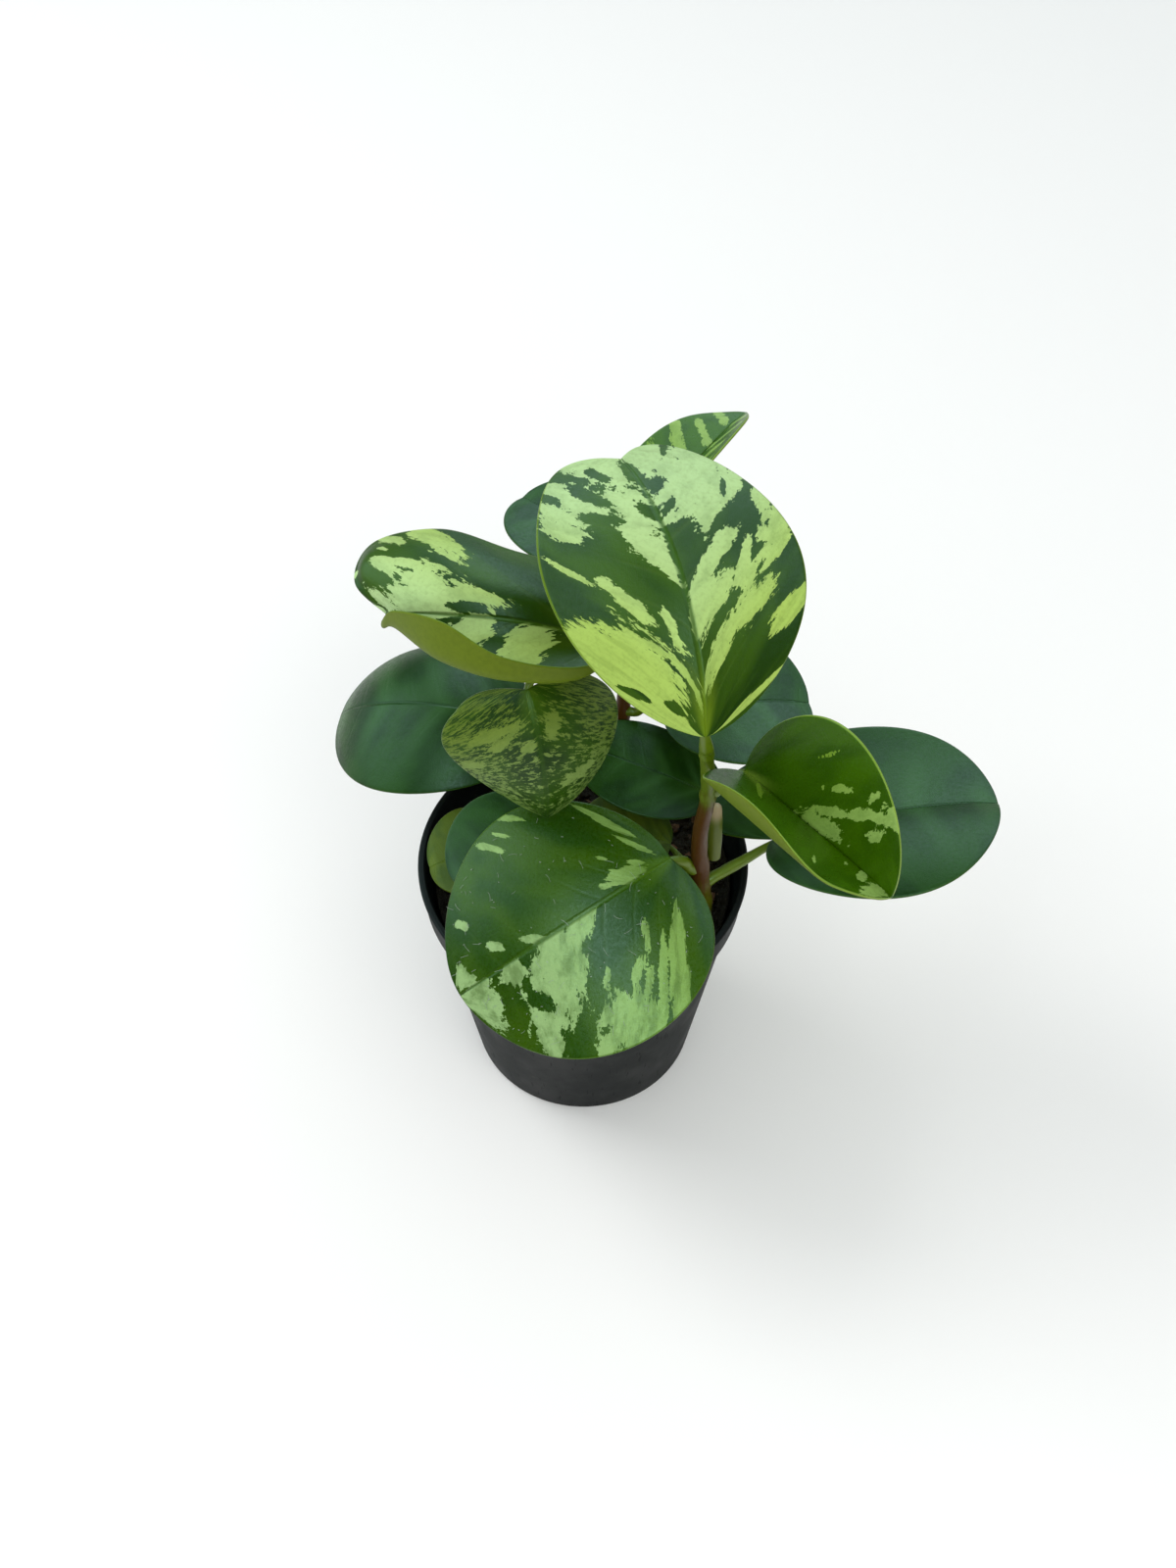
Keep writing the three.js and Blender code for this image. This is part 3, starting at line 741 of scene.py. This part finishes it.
def leaf_skin(name, pale_near, pale_far, green, deep, rib_tone, margin_and_glow,
              ragged_by=1.0, gloss=0.34, bands=0.0, freckles=0.0, cloud=0.22):
    """The face of a leaf. Its pale marks are pale_near by the base and pale_far by the tip, over
    green and deep green; bands are soft stripes along the veins, freckles a fine pale speckle,
    and cloud is how much green shows through the pale marks."""
    material, tree, skin = new_material(name)
    vein = attribute_of(tree, "vein")["Vector"]
    pale = attribute_of(tree, "pale")["Fac"]
    place = object_place(tree)
    net = place_vein_net(tree, vein)
    which, far = net["Which"], net["Far"]

    ragged = streaky(tree, vein, 24, 6.5, 5, 0.62)
    fine = streaky(tree, vein, 90, 34, shift=3.3)
    sway = plus(tree, times(tree, centred(tree, ragged), 2.2 * ragged_by),
                times(tree, centred(tree, fine), 0.9 * ragged_by))
    sway = times(tree, sway, ramp_of(tree, which, -0.35, 0.25, 0.55, 1.0))
    pale_mask = ramp_of(tree, plus(tree, pale, sway), -0.02, 0.05)
    if freckles:
        speckle = plus(tree, streaky(tree, vein, 40, 11, 5, 0.7, 6.4), ramp_of(tree, far, 0.1, 0.8, -0.03, 0.05))
        pale_mask = math_node(tree, "MAXIMUM", pale_mask, ramp_of(tree, speckle, 0.50, 0.57, 0.0, freckles))

    patches = streaky(tree, vein, 3.5, 1.6, 2, 0.5, 8.1)
    tissue = noise_of(tree, place, scale=900, detail=4, roughness=0.6)
    mottle = noise_of(tree, place, scale=3200, roughness=0.7)
    dark = mix_of(tree, ramp_of(tree, patches, 0.36, 0.64), green, deep)
    # Soft pale bands along the veins. On the plain far leaves their bluish pale green is partly a painted sky sheen.
    if bands:
        stripe = math_node(tree, "PINGPONG", times(tree, which, 3.2), 0.5)
        stripe = times(tree, ramp_of(tree, stripe, 0.0, 0.3, bands, 0.0), ramp_of(tree, far, 0.2, 0.95, 1.0, 0.1))
        dark = mix_of(tree, stripe, dark, pale_near)
    dark = mix_of(tree, ramp_of(tree, mottle, 0.5, 0.8, 0.0, 0.02), dark, pale_near)
    light = mix_of(tree, ramp_of(tree, which, -0.1, 0.75), pale_near, pale_far)
    wisps = streaky(tree, vein, 14, 4, 5, 0.65, 5.2)
    light = mix_of(tree, ramp_of(tree, wisps, 0.42, 0.66, 0.0, cloud), light, green)
    light = mix_of(tree, ramp_of(tree, tissue, 0.45, 0.75, 0.0, 0.18), light, green)

    colour = mix_of(tree, pale_mask, dark, light)
    colour = mix_of(tree, times(tree, net["Side"], 0.025), colour, pale_near)
    rib = mix_of(tree, ramp_of(tree, which, -0.05, 0.35), margin_and_glow, rib_tone)
    colour = mix_of(tree, times(tree, net["Rib"], 0.85), colour, rib)
    # Painted light: near the base and beside the lower midrib the face is mixed towards the margin colour. This is a
    # painted glow of light shining through the thick blade.
    painted_glow_at_base = times(tree, ramp_of(tree, which, 0.22, -0.02), ramp_of(tree, far, 0.03, 0.22, 0.85, 0.0))
    colour = mix_of(tree, painted_glow_at_base, colour, margin_and_glow)
    colour = mix_of(tree, times(tree, net["Margin"], 0.7), colour, margin_and_glow)
    tree.links.new(colour, skin.inputs["Base Color"])
    tree.links.new(ramp_of(tree, tissue, 0.3, 0.7, gloss - 0.04, gloss + 0.10), skin.inputs["Roughness"])
    skin.inputs["Specular IOR Level"].default_value = 0.24
    grooves = plus(tree, times(tree, net["Side"], -0.12), times(tree, net["Rib"], -1.0))
    relief = bump_of(tree, grooves, 0.3 * MM, 0.7)
    relief = bump_of(tree, tissue, 0.14 * MM, 0.5, relief)
    tree.links.new(bump_of(tree, mottle, 0.05 * MM, 0.7, relief), skin.inputs["Normal"])
    return material


def underside_skin():
    olive, yellow_green = (0.080, 0.125, 0.003), (0.135, 0.185, 0.007)
    pale_tissue, vein_tone = (0.20, 0.29, 0.04), (0.17, 0.25, 0.03)
    material, tree, skin = new_material("leaf_underside")
    net = place_vein_net(tree, attribute_of(tree, "vein")["Vector"])
    pale = attribute_of(tree, "pale")["Fac"]
    tissue = noise_of(tree, object_place(tree), scale=700, detail=4)
    colour = mix_of(tree, tissue, olive, yellow_green)
    colour = mix_of(tree, ramp_of(tree, pale, -0.3, 0.5, 0.0, 0.35), colour, pale_tissue)
    colour = mix_of(tree, times(tree, net["Side"], 0.25), colour, vein_tone)
    tree.links.new(colour, skin.inputs["Base Color"])
    skin.inputs["Roughness"].default_value = 0.5
    skin.inputs["Specular IOR Level"].default_value = 0.2
    tree.links.new(bump_of(tree, net["Side"], 0.3 * MM, 0.5), skin.inputs["Normal"])
    return material


def stalk_skin():
    green, light_green = (0.060, 0.105, 0.001), (0.125, 0.19, 0.004)
    material, tree, skin = new_material("leaf_stalk_skin")
    mottle = noise_of(tree, object_place(tree), scale=500)
    tree.links.new(mix_of(tree, mottle, green, light_green), skin.inputs["Base Color"])
    skin.inputs["Roughness"].default_value = 0.38
    tree.links.new(bump_of(tree, mottle, 0.2 * MM, 0.3), skin.inputs["Normal"])
    return material


UNDERSIDE = underside_skin()
STALK = stalk_skin()


def grow_leaf(name, leaf, skin):
    blade = grow_blade(name + "_blade", leaf, skin)
    stalk = grow_stalk(name + "_stalk", leaf)
    stalk.data.materials.append(STALK)
    for piece in (blade, stalk):
        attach(piece, "root")
        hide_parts(name)


# Crown leaf.
# The largest and highest leaf, marbled all over. It leans back from the top of the right stem
# and shows its face; the stalk stands in line with the stem.
GREEN = (0.030, 0.080, 0.0)
RIB_GREEN = (0.028, 0.080, 0.0)
MARBLED = leaf_skin(
    "marbled_leaf", pale_near=(0.37, 0.53, 0.10), pale_far=(0.40, 0.58, 0.25), green=GREEN,
    deep=(0.011, 0.040, 0.0), rib_tone=RIB_GREEN, margin_and_glow=(0.13, 0.22, 0.003))
grow_leaf("leaf_crown", dict(
    base=(31, -27, 178), heading=93, rise=54, roll=24, length=83, width=72, m=1.08,
    lobe=(-0.05, -0.05), notch=0.4, bend=65, fold=(-22, 1), curl=(30, 3),
    stem="stem_right", height=168, on_top=True, lift=0, stalk=1.9, sweep=0.5, seed=1.7, grid=(96, 120),
    marks=[
        (1.0, 0.95, -1.0, 0.93, 0.09), (0.35, 0.75, 0.12, 0.70, 0.09), (0.25, 0.62, 0.05, 0.52, 0.06),
        (0.95, 0.73, 0.48, 0.70, 0.05), (1.0, 0.60, 0.70, 0.60, 0.05), (0.85, 0.50, 0.70, 0.55, 0.06),
        (0.95, 0.27, 0.68, 0.25, 0.022), (0.50, 0.27, 0.36, 0.23, 0.05), (0.18, 0.30, 0.15, 0.22, 0.02),
        (0.25, 0.10, 0.05, 0.06, 0.04), (0.40, 0.0, 1.0, -0.45, 0.14), (0.55, -0.22, 1.0, -0.75, 0.14),
        (0.80, 0.76, 1.0, 0.74, 0.03), (0.60, 0.90, 0.30, 0.86, -0.02), (1.0, 0.83, 0.55, 0.84, -0.018),
        (0.70, 0.77, 0.35, 0.74, -0.03), (0.60, 0.63, 0.35, 0.66, -0.04), (0.36, -0.17, 0.52, -0.29, -0.018),
        (0.72, -0.41, 0.90, -0.57, -0.02), (0.17, 0.05, 0.12, 0.04, -0.02), (1.0, 0.67, 0.82, 0.68, -0.022),
        (-0.20, 0.75, -1.0, 0.75, 0.14), (-0.25, 0.55, -0.60, 0.62, 0.06), (-0.60, 0.60, -1.0, 0.60, 0.04),
        (-0.03, 0.34, -0.24, 0.33, 0.07), (-0.10, 0.42, -0.50, 0.46, 0.04), (-0.10, 0.13, -0.40, 0.14, 0.05),
        (-0.40, 0.15, -0.62, 0.08, 0.06), (-0.48, 0.22, -0.56, 0.24, 0.03), (-0.45, 0.27, -0.58, 0.34, 0.03),
        (-0.74, 0.33, -0.78, 0.33, 0.03), (-0.65, 0.26, -0.75, 0.25, 0.02), (-0.72, 0.19, -0.95, 0.19, 0.035),
        (-0.85, 0.26, -1.0, 0.32, 0.07), (-0.92, 0.40, -1.0, 0.45, 0.06), (-0.78, -0.14, -1.0, -0.27, 0.06),
        (-0.60, -0.45, -0.95, -0.68, 0.035),
        (-0.10, 0.82, -0.27, 0.81, -0.025), (-0.05, 0.70, -0.20, 0.72, -0.015), (-0.02, 0.58, -0.14, 0.55, -0.08),
        (-0.65, 0.88, -1.0, 0.90, -0.012), (-0.68, 0.61, -0.80, 0.64, -0.015), (-0.38, 0.52, -0.52, 0.54, -0.025),
        (-0.60, 0.52, -0.80, 0.52, -0.025), (0.05, 0.95, -0.05, 0.85, -0.05), (0.1, 0.75, 0.02, 0.72, -0.03),
    ]), MARBLED)


# Upper left leaf.
# A broad leaf held level, whose near edge rolls up like a gutter and shows its pale underside.
# It is fixed near the top of the back stem, behind the crown leaf.
grow_leaf("leaf_upper_left", dict(
    net=[
        [(13, 27, 156)],
        [(1, 43, 165), (-1, 35, 167), (-2, 26, 168), (-2, 17, 162), (-1, 7, 163), (0, 6, 168)],
        [(-21, 47, 172), (-20, 36, 175), (-20, 25, 175), (-20, 15, 168), (-21, 2, 168), (-21, 3, 175)],
        [(-40, 54, 173), (-39, 41, 176), (-37, 27, 175), (-37, 18, 168), (-38, 8, 169), (-37, 11, 180)],
        [(-59, 53, 169), (-59, 42, 171), (-50, 29, 169), (-50, 26, 166), (-51, 21, 168), (-51, 21, 174)],
        [(-64, 40, 166), (-60, 36, 166), (-54, 31, 165), (-54, 28, 164), (-55, 25, 164), (-55, 25, 166)],
        [(-54, 30, 163)],
    ],
    stem="stem_back", height=142, lift=1, stalk=1.8, seed=4.4, grid=(96, 120),
    marks=[
        (0.0, 0.58, -0.28, 0.50, 0.13), (0.0, 0.55, 0.12, 0.50, 0.07), (-0.15, 0.75, -0.40, 0.72, 0.07),
        (-0.05, 0.92, -0.90, 0.93, 0.04),
        (0.0, 0.42, 0.28, 0.33, 0.045), (0.0, 0.26, 0.38, 0.12, 0.045), (0.15, 0.32, 0.28, 0.36, 0.03),
        (-0.12, 0.45, -0.16, 0.32, 0.05), (-0.48, 0.42, -0.60, 0.48, 0.03), (-0.65, 0.25, -0.95, 0.18, 0.06),
        (-0.72, 0.42, -0.80, 0.42, 0.015), (-0.80, 0.35, -1.0, 0.35, 0.03), (-0.80, 0.62, -1.0, 0.66, 0.02),
        (-0.06, 0.42, -0.09, 0.36, -0.03), (-0.60, 0.65, -0.45, 0.56, -0.05), (-0.30, 0.84, -0.90, 0.86, -0.02),
        (0.10, 0.50, 0.05, 0.47, -0.02),
    ]), MARBLED)


# Middle leaf.
# A leaf from the top of the left stem that hangs forwards, its sides sloping away from the
# midrib. Its marbling is fine and mottled.
MOTTLED = leaf_skin(
    "mottled_leaf", pale_near=(0.13, 0.20, 0.02), pale_far=(0.19, 0.29, 0.07), green=(0.022, 0.066, 0.0),
    deep=(0.009, 0.036, 0.0), rib_tone=(0.02, 0.06, 0.001), margin_and_glow=(0.05, 0.11, 0.002),
    ragged_by=1.3, gloss=0.36, freckles=0.85)
grow_leaf("leaf_middle", dict(
    base=(-15, 5, 160), heading=288, rise=-36, roll=1, length=44, width=62, m=0.8,
    lobe=(0.21, 0.25), notch=0, bend=67, fold=(-14, -40), curl=(-32, 0),
    stem="stem_left", height=140, lift=10, stalk=1.6, sweep=0.5, seed=7.9,
    marks=[
        (-0.30, 0.12, -0.62, 0.05, 0.07), (-0.06, 0.33, -0.15, 0.33, 0.03), (0.60, 0.55, 0.30, 0.62, 0.05),
        (-0.30, 0.20, -0.45, 0.22, 0.04), (-0.70, 0.35, -0.90, 0.38, 0.05), (0.12, 0.24, 0.20, 0.10, 0.04),
    ]), MOTTLED)


# Front leaf.
# The lowest of the big leaves, over the front of the rim. It is mostly dark, with pale marbling
# towards its tip.
FRONT = leaf_skin(
    "marbled_leaf_in_front", pale_near=(0.20, 0.35, 0.08), pale_far=(0.27, 0.43, 0.17), green=GREEN,
    deep=(0.012, 0.048, 0.0), rib_tone=RIB_GREEN, margin_and_glow=(0.06, 0.14, 0.004), gloss=0.27, cloud=0.55)
FRONT_LEAF = dict(
    base=(25, -18, 114), heading=218, rise=2, roll=-26, length=74, width=78, m=0.94,
    lobe=(0.19, 0.01), notch=0, bend=52, fold=(-4, -4), curl=(13, -27),
    stem="stem_right", height=102, lift=1, stalk=1.8, seed=2.6, grid=(96, 120),
    marks=[
        (0.05, 0.50, 0.55, 0.60, 0.12), (0.05, 0.75, 0.15, 0.72, 0.05), (0.55, 0.65, 1.0, 0.62, 0.06),
        (0.0, 0.92, 0.70, 0.92, 0.07), (0.02, 0.40, 0.10, 0.45, 0.06), (0.52, 0.33, 0.42, 0.30, 0.02),
        (0.70, 0.33, 1.0, 0.33, 0.05), (0.75, 0.27, 1.0, 0.05, 0.09), (0.55, -0.02, 1.0, 0.0, 0.025),
        (0.60, -0.12, 1.0, -0.15, 0.07), (0.40, 0.08, 0.52, 0.08, 0.018), (0.30, 0.10, 0.38, 0.10, 0.012),
        (0.60, 0.07, 0.75, 0.10, 0.018), (0.58, 0.17, 0.55, 0.12, 0.03),
        (0.36, 0.68, 0.46, 0.63, -0.035), (0.20, 0.69, 0.30, 0.70, -0.015), (0.50, 0.74, 0.95, 0.82, -0.03),
        (0.15, 0.83, 0.24, 0.80, -0.015), (0.82, 0.34, 0.80, 0.34, -0.015), (0.95, -0.25, 0.90, -0.35, -0.05),
        (-0.08, 0.20, -0.12, 0.08, 0.04), (-0.15, 0.04, -0.18, 0.02, 0.02), (-0.15, 0.72, -0.22, 0.74, 0.02),
        (-0.10, 0.93, -0.40, 0.95, 0.04), (-0.55, 0.76, -0.75, 0.80, 0.015), (-0.75, 0.30, -0.95, 0.36, 0.02),
        (-0.82, 0.20, -0.90, 0.22, 0.015), (-0.92, 0.03, -1.0, 0.08, 0.03), (-0.25, -0.10, -0.50, -0.18, 0.02),
        (-0.55, -0.25, -0.90, -0.40, 0.03), (-0.04, 0.60, -0.08, 0.62, 0.02), (-0.30, 0.07, -0.33, 0.07, 0.012),
    ])
grow_leaf("leaf_front", FRONT_LEAF, FRONT)


# Lint on the front leaf.
# Short pale fibres and specks of dust that have settled on the front leaf's glossy face. Each
# is a bent three-sided thread, a few hundredths of a millimetre thick, lying on the skin.
LINT_JOINTS = 6
LINT_HEIGHT = 0.76


def lint(name, leaf, count, seed):
    dice = random.Random(seed)
    last = LINT_JOINTS - 1
    deselect()
    bpy.ops.mesh.primitive_cone_add(vertices=3, radius1=1, radius2=1, depth=1)
    pattern = bpy.context.object
    points, faces = [], []
    for i in range(count):
        s, u = dice.uniform(0.12, 0.95), dice.uniform(-0.9, 0.9)
        long = dice.choice((0.0004, 0.0006, 0.0015, 0.0028))
        course, turn = dice.uniform(0, 6.28), dice.uniform(-1.1, 1.1)
        thick = dice.uniform(0.00003, 0.00005) if long > MM else dice.uniform(0.00005, 0.0001)
        middle = blade_point(leaf, s, u)
        e1 = (blade_point(leaf, s + 0.01, u) - middle).normalized()
        up = e1.cross(blade_point(leaf, s, u + 0.01) - middle).normalized()
        e2 = up.cross(e1)
        first = len(points)
        for k in range(LINT_JOINTS):
            way = course + turn * k / last
            middle = middle + (e1 * math.cos(way) + e2 * math.sin(way)) * long / last
            side = (e2 * math.cos(way) - e1 * math.sin(way)) * thick
            foot = middle + up * LINT_HEIGHT * MM
            points += [foot - side, foot + side, foot + up * thick]
            if k:
                a = first + 3 * (k - 1)
                faces += [(a, a + 1, a + 4, a + 3), (a + 1, a + 2, a + 5, a + 4), (a + 2, a, a + 3, a + 5)]
        end = first + 3 * last
        faces += [(first + 2, first + 1, first), (end, end + 1, end + 2)]
    mesh = bpy.data.meshes.new(name)
    mesh.from_pydata(points, [], faces)
    pattern.data = mesh
    pattern.name = name
    material, _, skin = new_material("pale_lint")
    skin.inputs["Base Color"].default_value = (0.30, 0.36, 0.30, 1)
    skin.inputs["Roughness"].default_value = 0.9
    mesh.materials.append(material)
    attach(pattern, "root")


lint("front_leaf_lint", FRONT_LEAF, count=130, seed=41)


# Right leaf.
# A bright green leaf near the top of the right stem. Its near half folds up along its middle
# and shows a pale lip.
BRIGHT = leaf_skin(
    "bright_leaf", pale_near=(0.16, 0.30, 0.012), pale_far=(0.26, 0.42, 0.10), green=(0.038, 0.108, 0.0),
    deep=(0.024, 0.076, 0.0), rib_tone=(0.05, 0.13, 0.002), margin_and_glow=(0.22, 0.35, 0.04),
    ragged_by=1.1, gloss=0.30)
grow_leaf("leaf_right", dict(
    base=(43, -18, 153), heading=306, rise=9, roll=24, length=55, width=63, m=0.9,
    lobe=(-0.05, 0.08), notch=0, bend=13, fold=(50, 60), curl=(-6, 65), hinge=(0, 0.59),
    stem="stem_right", height=143, lift=1, stalk=1.7, seed=5.2,
    marks=[
        (0.14, 0.58, 0.10, 0.40, 0.05), (0.20, 0.40, 0.38, 0.53, 0.03), (0.38, 0.53, 0.95, 0.75, 0.03),
        (0.45, 0.72, 0.60, 0.74, 0.03), (0.60, 0.42, 0.50, 0.36, 0.025), (0.85, 0.55, 0.72, 0.54, 0.02),
        (0.80, 0.15, 0.66, 0.12, 0.015), (0.90, 0.68, 1.0, 0.75, 0.05), (0.42, 0.31, 0.44, 0.31, 0.012),
        (-0.10, 0.08, -0.25, 0.10, 0.025), (-0.05, 0.82, -0.35, 0.84, 0.02), (-0.10, 0.93, -0.90, 0.93, 0.04),
        (-0.15, 0.73, -0.20, 0.73, 0.012), (-0.50, 0.58, -0.65, 0.60, 0.012),
    ]), BRIGHT)


# Lower and far leaves.
# Older leaves of the same plant, darker and plain, with broad soft bands along the veins. The
# pale bluish green of these bands is partly a painted sky sheen on their glossy faces. The
# small low ones get little light and stay yellow-green.
# The plain leaves' bluish pale green is partly a painted sky sheen, and partly their own banding.
PLAIN = leaf_skin(
    "plain_leaf", pale_near=(0.030, 0.095, 0.02), pale_far=(0.04, 0.11, 0.03), green=(0.013, 0.054, 0.004),
    deep=(0.006, 0.030, 0.002), rib_tone=(0.008, 0.038, 0.003), margin_and_glow=(0.03, 0.085, 0.008),
    ragged_by=0.5, bands=0.6)
YOUNG = leaf_skin(
    "yellow_green_leaf", pale_near=(0.13, 0.19, 0.01), pale_far=(0.17, 0.24, 0.02), green=(0.060, 0.095, 0.002),
    deep=(0.035, 0.065, 0.001), rib_tone=(0.07, 0.12, 0.003), margin_and_glow=(0.08, 0.13, 0.003),
    ragged_by=0.6, gloss=0.45, bands=0.3)
SMALL_SHAPE = dict(roll=0, m=1.2, lobe=(0.15, 0.15), notch=0.05, bend=20, fold=(6, 6), curl=(5, 5), lift=2, marks=[])
SMALL_LEAVES = {
    "leaf_far_right": (PLAIN, dict(
        base=(56, -3, 103), heading=9, rise=17, roll=-32, length=66, width=71, m=1.25, lobe=(1.15, 0.4), notch=0,
        bend=18, fold=(19, 0), curl=(18, -40), stem="stem_right", height=95, lift=-1, stalk=1.7, seed=11.3)),
    "leaf_far_left": (PLAIN, dict(
        base=(-21, 37, 110), heading=178, rise=22, roll=-22, length=67, width=57, m=1.13, lobe=(0.33, 0.36),
        notch=0.04, bend=83, fold=(4, -8), curl=(-21, -37), stem="stem_left", height=104, lift=3, stalk=1.6,
        seed=12.9)),
    "leaf_back_right": (PLAIN, dict(
        base=(24, 29, 122), heading=6, rise=12, length=44, width=54, lobe=(0.1, 0.15), bend=25,
        stem="stem_back", height=116, stalk=1.4, seed=14.1)),
    "leaf_back_left": (PLAIN, dict(
        base=(13, 72, 140), heading=137, rise=12, length=44, width=40,
        stem="stem_back", height=131, stalk=1.4, seed=17.5)),
    "leaf_middle_back": (PLAIN, dict(
        base=(37, 11, 107), heading=166, rise=20, roll=-23, length=42, width=30, m=1.1, lobe=(0.2, 0.35),
        fold=(6, -7), curl=(5, -12), stem="stem_right", height=106, stalk=1.3, seed=23.8)),
    "leaf_low_front": (PLAIN, dict(
        base=(-4, 0, 107), heading=205, rise=-2, length=38, width=40,
        stem="stem_left", height=95, lift=3, stalk=1.3, seed=19.6)),
    "leaf_low_left": (YOUNG, dict(
        base=(-20, 2, 95), heading=194, rise=-2, length=27, width=32, bend=15,
        stem="stem_left", height=88, stalk=1.2, seed=18.2)),
    "leaf_low_middle": (YOUNG, dict(
        base=(26, -1, 98), heading=168, rise=6, length=29, width=30, bend=15,
        stem="stem_right", height=89, stalk=1.2, seed=21.4)),
}
for name, (skin, leaf) in SMALL_LEAVES.items():
    grow_leaf(name, {**SMALL_SHAPE, **leaf}, skin)


# Back top leaf.
# The leaf at the top of the back stem, behind the crown leaf. It is narrow and half folded, and
# striped pale and middle green.
grow_leaf("leaf_back_top", dict(
    base=(14, 58, 164), heading=54, rise=16, roll=0, length=61, width=34, m=0.95,
    lobe=(0.1, 0.1), notch=-0.2, bend=18, fold=(5, 50), curl=(5, 5),
    stem="stem_back", height=150, on_top=True, lift=0, stalk=1.4, seed=15.7,
    marks=[
        (0.10, 0.15, 0.90, 0.22, 0.05), (0.05, 0.42, 0.95, 0.50, 0.05), (0.05, 0.66, 0.80, 0.70, 0.03),
        (0.10, -0.10, 0.90, -0.15, 0.05), (0.20, 0.85, 0.95, 0.90, 0.03), (-0.10, 0.10, -0.80, 0.16, 0.04),
        (-0.05, 0.40, -0.70, 0.44, 0.05), (-0.15, 0.62, -0.85, 0.68, 0.03), (-0.05, -0.15, -0.85, -0.22, 0.06),
        (-0.10, 0.84, -0.80, 0.88, 0.04),
    ]), BRIGHT)


# Floor, light and camera.
# A plain pale floor, and soft light from all sides with a little more from the left. The leaves
# mirror four patches of cool sky: behind, at the left, at the right and above the front.
FLOOR_SIZE = 6
FLOOR_DROP = 0.3 * MM
AROUND = (0.70, 0.72, 0.72)
BACKDROP = (1.0, 1.0, 1.0)
MIRRORED_TONE = (5.2, 8.0, 8.0)
DIM_ROOM = 0.005
# Each patch: the way to it, the cosine where it begins, the cosine where it is full, how bright.
SKY_PATCHES = [
    ((0.13, 0.755, 0.64), 0.82, 0.98, 0.42), ((-0.79, 0.21, 0.574), 0.78, 0.97, 0.40),
    ((0.58, 0.155, 0.8), 0.91, 0.99, 0.40), ((-0.05, -0.50, 0.86), 0.93, 0.985, 0.9),
]
CAMERA_PLACE = (0.0015, -0.3094, 0.5131)
CAMERA_DOWN = 51.42
LENS_LENGTH = 40
SENSOR_HEIGHT = 36

deselect()
bpy.ops.mesh.primitive_plane_add(size=FLOOR_SIZE, location=(0, 0, -FLOOR_DROP))
floor = name_piece("floor")
floor_material, _, skin = new_material("pale_floor")
skin.inputs["Base Color"].default_value = (0.9, 0.9, 0.9, 1)
skin.inputs["Roughness"].default_value = 0.8
floor.data.materials.append(floor_material)

scene = bpy.context.scene
scene.view_settings.view_transform = "Standard"
world = scene.world or bpy.data.worlds.new("studio")
scene.world = world
world.use_nodes = True
tree = world.node_tree
sky = tree.nodes["Background"]
direction = tree.nodes.new("ShaderNodeTexCoord").outputs["Generated"]
mirrored_sky = DIM_ROOM
for aim, begins, full, bright in SKY_PATCHES:
    facing = tree.nodes.new("ShaderNodeVectorMath")
    facing.operation = "DOT_PRODUCT"
    tree.links.new(direction, facing.inputs[0])
    facing.inputs[1].default_value = aim
    patch = ramp_of(tree, facing.outputs["Value"], begins, full, 0.0, bright)
    mirrored_sky = math_node(tree, "MAXIMUM", mirrored_sky, patch)
mirrored_tone = mix_of(tree, mirrored_sky, (0.0, 0.0, 0.0), MIRRORED_TONE)
rays = tree.nodes.new("ShaderNodeLightPath").outputs
sky_tone = mix_of(tree, rays["Is Glossy Ray"], AROUND, mirrored_tone)
tree.links.new(mix_of(tree, rays["Is Camera Ray"], sky_tone, BACKDROP), sky.inputs["Color"])
sky.inputs["Strength"].default_value = 1.0


def panel(name, place, aim, size, power, colour):
    """A square lamp that the leaves don't mirror."""
    lamp = bpy.data.lights.new(name, "AREA")
    lamp.size = size
    lamp.energy = power
    lamp.color = colour
    holder = bpy.data.objects.new(name, lamp)
    scene.collection.objects.link(holder)
    holder.location = place
    holder.rotation_euler = (Vector(aim) - Vector(place)).to_track_quat("-Z", "Y").to_euler()
    holder.visible_glossy = False


panel("sky_panel", place=(-0.75, 0.35, 0.95), aim=(0, 0, 0.12), size=0.6, power=6, colour=(1.0, 1.0, 0.98))
panel("front_fill", place=(0.5, -0.9, 1.0), aim=(0, 0, 0.1), size=1.0, power=7, colour=(1.0, 0.98, 0.94))

lens = bpy.data.cameras.new("camera")
lens.sensor_fit = "VERTICAL"
lens.sensor_height = SENSOR_HEIGHT
lens.lens = LENS_LENGTH
lens.clip_start = 0.01
camera = bpy.data.objects.new("camera", lens)
scene.collection.objects.link(camera)
camera.location = CAMERA_PLACE
camera.rotation_euler = (math.radians(90 - CAMERA_DOWN), 0, 0)
scene.camera = camera
